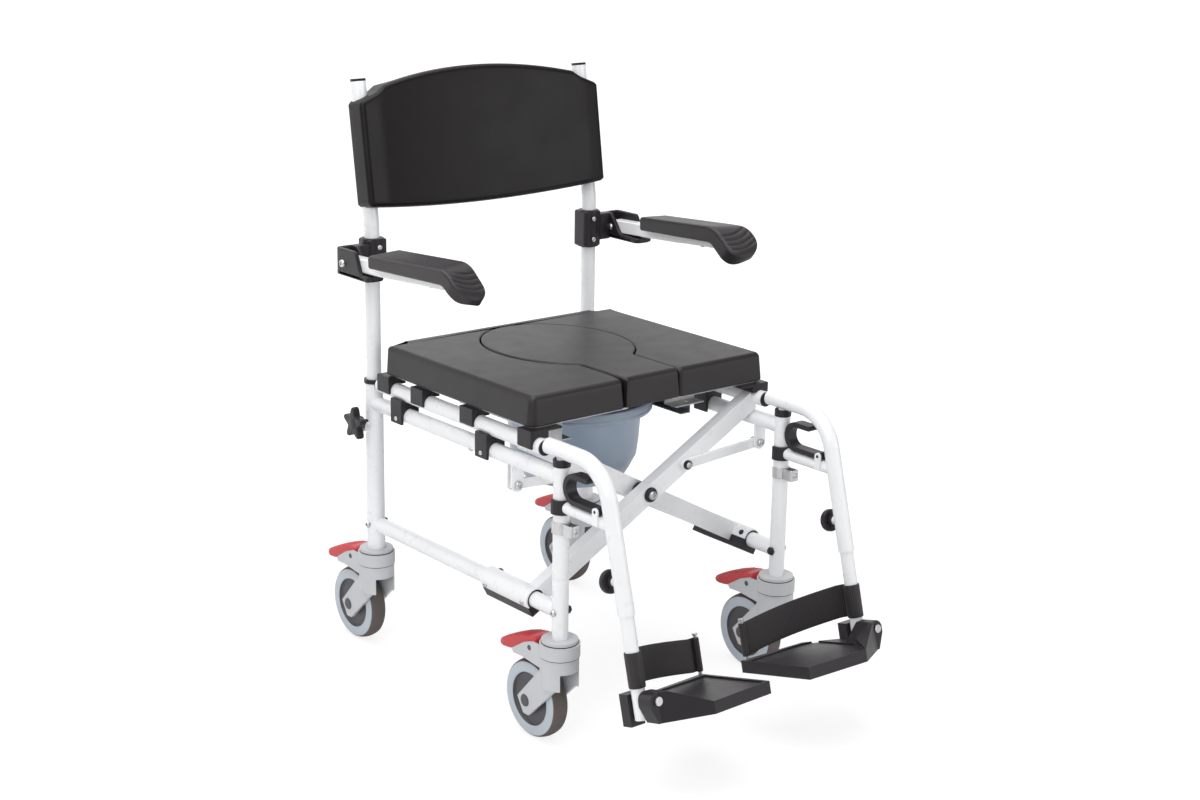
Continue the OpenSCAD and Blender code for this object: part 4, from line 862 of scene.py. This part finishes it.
black_part("seat_rail_clips", "seat_clips", "seat", 1.0)
soft_copy("pan_holder_plate", "pan_holder", "seat", "steel", [PLATE], 0.5)
for side, s in SIDES.items():
    black_part(f"rail_saddle_blocks_{side}", f"rail_saddles_{side}", f"{side}_frame", 1.8)
    black_part(f"release_lever_{side}_curl", f"release_lever_{side}", f"release_lever_{side}", 1.8)
    black_part(f"hanger_bush_{side}_ring", f"hanger_bush_{side}", f"bush_{side}", 0.8)
    soft_copy(f"footplate_{side}_tread", f"footplate_{side}", f"footplate_{side}", "black_plastic", [BLACK, STEEL],
              1.5, local_pick(s, plate_part))
    soft_copy(f"footrest_tube_{side}_soft", f"footrest_tube_{side}", f"footrest_{side}", "frame_white",
              [WHITE, BLACK, STEEL], 1.2, local_pick(s, tube_part))
    repaint(f"hanger_{side}", WHITE, BLACK, pick=hanger_part)
for end in ("front", "rear"):
    soft_copy(f"cross_brace_{end}_bar", f"cross_brace_{end}", f"brace_{end}", "frame_white", [WHITE], 2.0)
for end in ("front", "rear"):
    black_part(f"brace_bearing_{end}_block", f"brace_bearing_{end}", f"brace_{end}", 1.4)


# Bolts, washers and links

BRACE_FRONT, BRACE_REAR = MID_Y - 180.0, MID_Y - 150.0
BRACE_FACE = 10.0
BRACE_MID_Z = 342.5
LOWER_Z, SIDE_Z = 220.0, 430.0
LINK_PIVOT_Z = 390.0
LINK_FAR = (-69.75, 380.475)
CATCH_LOW, CATCH_HIGH = 345.0, 363.0
CAP_NUT = [(0, 0), (7.0, 0), (7.0, 3.4), (5.6, 5.6), (3.2, 6.6), (0, 6.9)]

kit = Kit()
face = BRACE_FRONT - BRACE_FACE
kit.add(lathe([(0, 5.2), (8.2, 5.2), (11.0, 4.4), (12.0, 2.6), (12.0, 0.0), (0, 0.0)], 40), 0,
        aim((0, face, BRACE_MID_Z), FORWARD))
kit.add(button_head(7.2, 4.8), 1, aim((0, face - 5.2, BRACE_MID_Z), FORWARD))
kit.add(disc(13.0, 9.6, 0.8), 0, aim((0, BRACE_FRONT + BRACE_FACE, BRACE_MID_Z), BACKWARD))
kit.add(lathe([(0, 0.3), (9.0, 0.3), (9.0, 5.0), (7.0, 7.4), (0, 8.0)], 6), 0,
        aim((0, BRACE_REAR + BRACE_FACE, BRACE_MID_Z), BACKWARD))
kit.place("brace_pivot_bolt", "brace_front", "black_plastic", [BLACK, STEEL], "brace_pivot")


def link_kit(s, y, lap):
    """Flat bar with an eye at each end, its bolt in the side rail's bracket and the washer on the brace."""
    kit = Kit(flip(s))
    a, b = Vector((-HALF_TRACK, LINK_PIVOT_Z)), Vector(LINK_FAR)
    run = degrees(atan2(b.y - a.y, b.x - a.x))
    outline = arc(a.x, a.y, 8.0, run + 90, run + 270, 16) + arc(b.x, b.y, 8.0, run - 90, run + 90, 16)
    kit.add(slab(outline, -3.0, 3.0, 1.0), 0, Matrix.Translation((0, y, 0)) @ ALONG_Y)
    cover = y - lap * 3.0
    kit.add(disc(7.5, 5.4, 0.8), 1, aim((b.x, cover, b.y), (0, -lap, 0)))
    kit.add(button_head(5.2, 2.6), 2, aim((b.x, cover - lap * 5.4, b.y), (0, -lap, 0)))
    for way in (-1, 1):
        kit.add(button_head(6.6, 3.6), 2, aim((a.x, y + way * 9.5, a.y), (0, way, 0)))
    return kit.add(disc(3.8, 19.0, 0.4), 2, aim((a.x, y - 9.5, a.y), BACKWARD))


for side, s, y, lap in (("right", 1.0, BRACE_REAR + 13.3, -1), ("left", -1.0, BRACE_FRONT - 13.3, 1)):
    link = f"fold_link_{side}"
    link_kit(s, y, lap).place(f"{link}_bar", link, "frame_white", [WHITE, BLACK, STEEL], link)


def frame_hardware(s):
    """Leg bolts with cap nuts, and the catch plate's band, loop and screw."""
    kit = Kit(flip(s))
    for y, leg_r in ((REAR_Y, 15.0), (FRONT_Y, 12.5)):
        kit.add(button_head(5.6, 4.2), 0, aim((-HALF_TRACK - leg_r - 0.2, y, LOWER_Z), OUTWARD))
        kit.add(disc(2.9, 2 * leg_r + 3, 0.3), 0, aim((-HALF_TRACK - leg_r - 1.5, y, LOWER_Z), INWARD))
        kit.add(lathe(CAP_NUT, 6), 1, aim((-HALF_TRACK + leg_r + 0.2, y, LOWER_Z), INWARD))
    band = arc(-HALF_TRACK, FRONT_Y, 13.9, -206, 26, 40)
    loop = [(-7.5, -13.0), (-7.5, -22.0), (-7.5, -28.5)] + arc(-4.5, -29.5, 3.0, 180, 270, 6)
    loop += [(-x, y) for x, y in reversed(loop)]
    loop = [(-HALF_TRACK + x, FRONT_Y + y) for x, y in loop]
    for path, thick, r in ((band, 2.4, 0.8), (loop, 2.8, 0.9)):
        kit.add(wall(path, thick, [CATCH_LOW] * len(path), [CATCH_HIGH] * len(path), r))
    return kit.add(button_head(4.6, 2.6), 0, aim((-HALF_TRACK, FRONT_Y - 33.6, 354.0), FORWARD))


def small_screws(s):
    """Screw heads on the saddles and under the side rail."""
    kit = Kit(flip(s))
    for y in (MID_Y + 160.0, MID_Y - 72.0):
        kit.add(button_head(3.8, 1.8), 0, aim((-HALF_TRACK - 17.3, y, SIDE_Z - 4.0), OUTWARD))
    return kit.add(button_head(4.0, 2.0), 0, aim((-HALF_TRACK - 6.0, MID_Y - 30.0, SIDE_Z - 11.4), (-0.48, 0, -0.88)))


for side, s in SIDES.items():
    bolts = f"frame_bolts_{side}"
    frame_hardware(s).place(f"{bolts}_heads", f"{side}_frame", "steel", [STEEL, BLACK], bolts)
    small_screws(s).place(f"frame_screws_{side}", f"{side}_frame", "steel", [STEEL])


def sleeve_screws(s):
    """Screws that hold a brace's half shell to its bearing."""
    kit = Kit(flip(s))
    angle = degrees(atan2(245.0, 450.0))
    for y in (face + 12.0, face + 106.0):
        for turn, mat, head in ((166.0, 0, button_head(4.6, 2.6)), (14.0, 1, dome(4.6, 3.0))):
            a = radians(turn + angle)
            way = Vector((cos(a), 0, sin(a)))
            kit.add(head, mat, aim(Vector((-HALF_TRACK, y, LOWER_Z)) + way * 17.9, way))
    return kit


for end, s in (("front", 1.0), ("rear", -1.0)):
    sleeve_screws(s).place(f"sleeve_screws_{end}", f"brace_{end}", "steel", [STEEL, BLACK])


# Pan

PAN_PLACE = Matrix.Translation((0, MID_Y + 4.0, 442.3))
PAN_PROFILE = [
    (0.0, -115.0), (74.0, -115.0), (78.5, -114.2), (82.0, -111.8), (85.5, -107.5), (92.6, -96.0), (97.5, -86.0),
    (103.0, -75.0), (106.2, -50.0), (109.0, -8.0), (109.6, -1.2), (111.0, 0.0), (122.5, 0.0), (126.2, 0.9),
    (127.8, 3.2), (127.4, 7.0), (126.4, 8.0), (126.3, 9.0), (127.0, 9.8), (126.2, 16.6), (125.2, 19.0), (123.0, 20.0),
    (109.0, 20.0), (107.2, 19.0), (106.2, 16.5), (100.2, -75.0), (89.8, -95.0), (80.0, -111.0), (76.0, -112.0),
    (0.0, -112.0)]
Kit(PAN_PLACE).add(lathe(PAN_PROFILE, 112)).place("pan_shell", "pan_body", "pan_plastic", [PAN], "pan", sharp=50.0)


# Heel straps: ribbed webbing from the tube, round behind the heel, to the pin

STRAP_W, STRAP_T, BOW = 52.0, 2.0, 16.0
STRAP_LOW, STRAP_PIN_LOW = 17.0, -8.0
TUBE_R = 10.45 + 0.2 + STRAP_T / 2
PIN_R = 3.0 + 0.3 + STRAP_T / 2


def strap_line():
    tube = arc(0, 0, TUBE_R, 115 + 330, 115, 40)
    a = Vector(tube[-1])
    pin = arc(*HEEL_PIN, PIN_R, 110, 110 - 290, 24)
    b = Vector(pin[0])
    span = []
    for i in range(1, 40):
        t = i / 40
        q = a.lerp(b, t)
        span.append((q.x, q.y + BOW * sin(pi * t)))
    return tube + span + pin


def strap_mesh(sx):
    line = strap_line()
    verts, uvs, faces = [], [], []
    n = len(line)
    run = 0.0
    levels = [0.0, 0.04, 0.1] + [0.1 + 0.8 * k / 8 for k in range(1, 8)] + [0.9, 0.96, 1.0]
    ring_n = 2 * len(levels)
    for i, (x, y) in enumerate(line):
        a, b = Vector(line[max(0, i - 1)]), Vector(line[min(n - 1, i + 1)])
        d = (b - a).normalized()
        side = Vector((-d.y, d.x))
        run += (Vector(line[i]) - Vector(line[i - 1])).length if i else 0.0
        t = max(0.0, min(1.0, (x - TUBE_R) / (HEEL_PIN[0] - 2 * TUBE_R)))
        low = STRAP_LOW + (STRAP_PIN_LOW - STRAP_LOW) * t
        for face in (1, -1):
            for u in (levels if face > 0 else list(reversed(levels))):
                thin = 0.55 if u in (0.0, 1.0) else 1.0
                off = face * STRAP_T / 2 * thin
                p = Vector((-sx * HALF_TRACK + sx * (x + side.x * off), y + side.y * off, low + STRAP_W * u))
                verts.append(FOOT_FRAME @ p)
                uvs.append((run * MM, (u * STRAP_W + (100 if face < 0 else 0)) * MM))
    for i in range(n - 1):
        for k in range(ring_n):
            a, b = i * ring_n + k, i * ring_n + (k + 1) % ring_n
            faces.append((a, a + ring_n, b + ring_n, b))
    faces.append(tuple(range(ring_n)))
    faces.append(tuple(range(n * ring_n - 1, (n - 1) * ring_n - 1, -1)))
    return verts, faces, uvs


for side, s in SIDES.items():
    verts, faces, uvs = strap_mesh(s)
    mesh = collect(f"heel_strap_{side}_band", verts, faces, [STRAP], uvs=uvs)
    finish_mesh(mesh, 60.0)
    band = place(f"heel_strap_{side}_band", mesh, None, "webbing", f"heel_strap_{side}")
    end = FOOT_FRAME @ Vector((-s * HALF_TRACK + s * 160.0, 70.0, 20.0)) * MM
    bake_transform(band)


# Castors

WHEEL_R, TRAIL = 62.5, 55.0
HUB_BANDS, RING_BANDS = 7, 13
# From the bore out: recessed hub, light ring and tread, up to the middle of the tread
WHEEL_HALF = [
    (6.05, 12.0), (10.5, 12.0), (11.5, 11.0), (12.5, 10.6), (38.0, 10.6), (40.5, 11.0), (41.6, 12.4), (42.2, 14.6),
    (43.2, 15.4), (46.0, 15.7), (52.0, 15.5), (56.4, 15.0), (57.8, 14.4), (58.2, 13.6), (58.9, 13.4), (60.2, 12.0),
    (61.4, 8.4), (62.2, 4.2), (WHEEL_R, 0.0)]
WHEEL_PROFILE = WHEEL_HALF + [(r, -h) for r, h in reversed(WHEEL_HALF[:-1])]


def wheel_material(band):
    """Tread, ring or hub, from the place of a band in the wheel's section; the last band is the bore."""
    last = len(WHEEL_PROFILE) - 2
    j = min(band, last - band)
    return 2 if j < HUB_BANDS else 1 if j < RING_BANDS else 0


def pedal_mesh():
    """Red pedal: a curved tongue with cross ribs, wider than deep, its end rounded."""
    top = [(33.5, 160.0), (36.0, 168.0), (40.0, 170.0), (54.0, 169.0), (70.0, 165.6), (90.0, 158.6), (108.0, 150.8),
           (119.0, 145.6), (127.0, 140.8), (130.9, 137.0)]
    low = [(33.5, 158.0), (36.0, 150.0), (40.0, 146.5), (58.0, 140.5), (80.0, 136.0), (105.0, 131.5), (119.0, 130.2),
           (127.0, 130.4), (130.9, 134.0)]

    def along(line, y):
        for (y0, z0), (y1, z1) in zip(line, line[1:]):
            if y <= y1:
                return z0 + (z1 - z0) * (y - y0) / (y1 - y0)
        return line[-1][1]
    rings = []
    start, length = 33.5, 97.4
    for k in range(121):
        y = start + length * k / 120
        z0, z1 = along(low, y), along(top, y)
        half = min(20.0 * (0.5 + 0.5 * quarter((131.2 - y) / 18.0)), 17.0 + (y - start) * 0.9)
        ribs = smoothstep(48, 54, y) * (1 - smoothstep(118, 122, y))
        z1 += 0.9 * ribs * cos(2 * pi * y / 7.6) - 0.9 * ribs
        tall = max(0.6, z1 - z0)
        r = min(3.5, tall * 0.4, half * 0.5)
        section = arc(-half + r, z0 + r, r, 180, 270, 3) + arc(half - r, z0 + r, r, 270, 360, 3)
        section += arc(half - r, z1 - r, r, 0, 90, 4) + [((half - r) * t, z1) for t in (0.6, 0.2, -0.2, -0.6)]
        section += arc(-half + r, z1 - r, r, 90, 180, 4)
        rings.append([Vector((x, y, z - (1.6 * (x / half) ** 2 if z > (z0 + z1) / 2 else 0.0))) for x, z in section])
    return loft(rings)


SEAM = [(27.0, 150.4), (30.4, 150.4), (30.6, 149.8), (30.4, 148.9), (27.0, 148.9), (27.0, 150.4)]
STEP = [(26.0, 172.4), (28.3, 172.4), (28.6, 171.6), (28.3, 170.9), (26.0, 170.9), (26.0, 172.4)]
AXLE_CAP = [(0, 1.7), (7.6, 1.7), (9.2, 1.2), (10.0, 0.0), (10.0, -1.0), (0, -1.0)]
PIN_HEAD = [(0, 1.2), (3.4, 1.0), (4.4, 0.0), (4.4, -0.6), (0, -0.6)]


def fork_details(castor):
    """Seam under the collar, its upper step, the axle caps and the pedal pin's heads."""
    kit = Kit(castor).add(lathe(SEAM, 64), 1).add(lathe(STEP, 64), 1)
    for way in (-1, 1):
        kit.add(lathe(AXLE_CAP, 36), 2, aim((way * 23.5, TRAIL, WHEEL_R), (way, 0, 0)))
        kit.add(lathe(PIN_HEAD, 24), 2, aim((way * 24.3, 44.0, 153.0), (way, 0, 0)))
    return kit


UPRIGHT = Matrix.Translation((0, TRAIL, WHEEL_R)) @ Matrix.Rotation(radians(90), 4, "Y")
for end, y0 in (("rear", REAR_Y), ("front", FRONT_Y)):
    for side, s in SIDES.items():
        corner = f"{end}_{side}"
        castor = Matrix.Translation((-s * HALF_TRACK, y0, 0))
        wheel = lathe(WHEEL_PROFILE + WHEEL_PROFILE[:1], 96)
        kit = Kit(castor @ UPRIGHT).add(wheel)
        kit.mats = [wheel_material(band) for band in wheel[2]]
        kit.place(f"wheel_{corner}_disc", f"wheel_{corner}", "wheel_grey", [TREAD, RING, HUB], f"castor_wheel_{corner}")
        soft_copy(f"fork_{corner}_shell", f"castor_fork_{corner}", f"castor_{corner}", "castor_grey", [GREY], 2.0,
                  segments=3)
        fork_details(castor).place(f"fork_{corner}_trim", f"castor_{corner}", "castor_grey", [GREY, CAP, HUB])
        Kit(castor).add(pedal_mesh()).place(f"pedal_{corner}_tread", f"pedal_{corner}", "pedal_red", [RED],
                                            f"castor_pedal_{corner}", sharp=50.0)


# Studio

def studio_floor():
    """Seamless pale floor that curves up behind the chair; the camera sees it white, with the chair's shadow."""
    half_width, front, curve_y, curve_r, height, z = 9.0, -7.0, 3.0, 2.0, 8.0, -0.0005
    section = [(front, z)] + arc(curve_y, z + curve_r, curve_r, -90, 0, 12) + [(curve_y + curve_r, height)]
    rings = [[Vector((x, y, h)) / MM for y, h in section] for x in (-half_width, half_width)]
    verts, faces = loft(rings, closed=False, caps=(False, False))
    g = Graph("studio_paper")
    g.set(Roughness=0.9, Specular_IOR_Level=0.1)
    path = g.node("ShaderNodeLightPath")
    paper = g.node("ShaderNodeMix", data_type="RGBA")
    g.link(path.outputs["Is Camera Ray"], paper.inputs["Factor"])
    g.link(g.ramp(g.noise(3.0, 3.0), 0.3, 0.7, (0.9, 0.9, 0.9, 1), (0.93, 0.93, 0.93, 1)), paper.inputs[6])
    paper.inputs[7].default_value = (0.28, 0.28, 0.29, 1)
    g.feed("Base Color", paper.outputs[2])
    away = g.node("ShaderNodeVectorMath", operation="LENGTH")
    g.link(g.coords.outputs["Object"], away.inputs[0])
    axes = g.node("ShaderNodeSeparateXYZ")
    g.link(g.coords.outputs["Object"], axes.inputs[0])

    def fade(source, near, far, low, high):
        n = g.node("ShaderNodeMapRange", interpolation_type="SMOOTHSTEP",
                   **{"From Min": near, "From Max": far, "To Min": low, "To Max": high})
        g.link(source, n.inputs["Value"])
        return n.outputs["Result"]

    def combine(operation, a, b):
        n = g.node("ShaderNodeMath", operation=operation)
        g.link(a, n.inputs[0])
        g.link(b, n.inputs[1])
        return n.outputs[0]
    seen = combine("MULTIPLY", path.outputs["Is Camera Ray"], fade(away.outputs["Value"], 0.7, 1.7, 0.81, 1.0))
    mirrored = combine("MULTIPLY", path.outputs["Is Glossy Ray"], fade(axes.outputs["Y"], 0.4, 2.4, 0.0, 0.95))
    g.feed("Emission Strength", combine("ADD", seen, mirrored))
    g.set(Emission_Color=(1, 1, 1, 1))
    mesh = collect("studio_floor", verts, faces, [g.mat])
    finish_mesh(mesh, 60.0, outward=False)
    floor = bpy.data.objects.new("studio_floor", mesh)
    scene.collection.objects.link(floor)


studio_floor()


def lamp(name, place_at, target, size, watts):
    data = bpy.data.lights.new(name, "AREA")
    data.shape = "RECTANGLE"
    data.size, data.size_y = size
    data.energy = watts
    light = bpy.data.objects.new(name, data)
    light.location = place_at
    light.rotation_euler = (Vector(target) - Vector(place_at)).to_track_quat("-Z", "Y").to_euler()
    scene.collection.objects.link(light)


lamp("top_softbox", (-0.3, 0.2, 3.0), (0, 0, 0.4), (3.0, 3.0), 78)
lamp("key_softbox", (-3.0, -1.6, 2.3), (0, 0, 0.5), (1.8, 2.2), 50)
lamp("fill_softbox", (1.8, -3.4, 1.3), (0, 0, 0.45), (2.0, 1.6), 30)

world = bpy.data.worlds.new("studio_world")
world.use_nodes = True
tree = world.node_tree
backdrop = tree.nodes["Background"]
backdrop.inputs["Color"].default_value = (1, 1, 1, 1)
eyes = tree.nodes.new("ShaderNodeLightPath")
level = tree.nodes.new("ShaderNodeMapRange")
level.inputs["To Min"].default_value = 0.3
level.inputs["To Max"].default_value = 1.0
tree.links.new(eyes.outputs["Is Camera Ray"], level.inputs["Value"])
tree.links.new(level.outputs["Result"], backdrop.inputs["Strength"])
scene.world = world
scene.view_settings.view_transform = "Standard"


# Camera at the photograph's viewing angle

eye = Vector((-1.958, -2.365, 1.333))
azimuth, elevation, roll = radians(-39.52), radians(15.71), radians(0.953)
level_part = cos(elevation)
back_axis = Vector((sin(azimuth) * level_part, -cos(azimuth) * level_part, sin(elevation)))
right_axis = Vector((cos(azimuth), sin(azimuth), 0.0))
up_axis = back_axis.cross(right_axis)
right_rolled = right_axis * cos(roll) + up_axis * sin(roll)
up_rolled = up_axis * cos(roll) - right_axis * sin(roll)
lens = bpy.data.cameras.new("photo_camera")
lens.lens, lens.sensor_width = 60.0, 36.0
camera = bpy.data.objects.new("photo_camera", lens)
camera.matrix_world = Matrix.Translation(eye) @ Matrix((right_rolled, up_rolled, back_axis)).transposed().to_4x4()
scene.collection.objects.link(camera)
scene.camera = camera
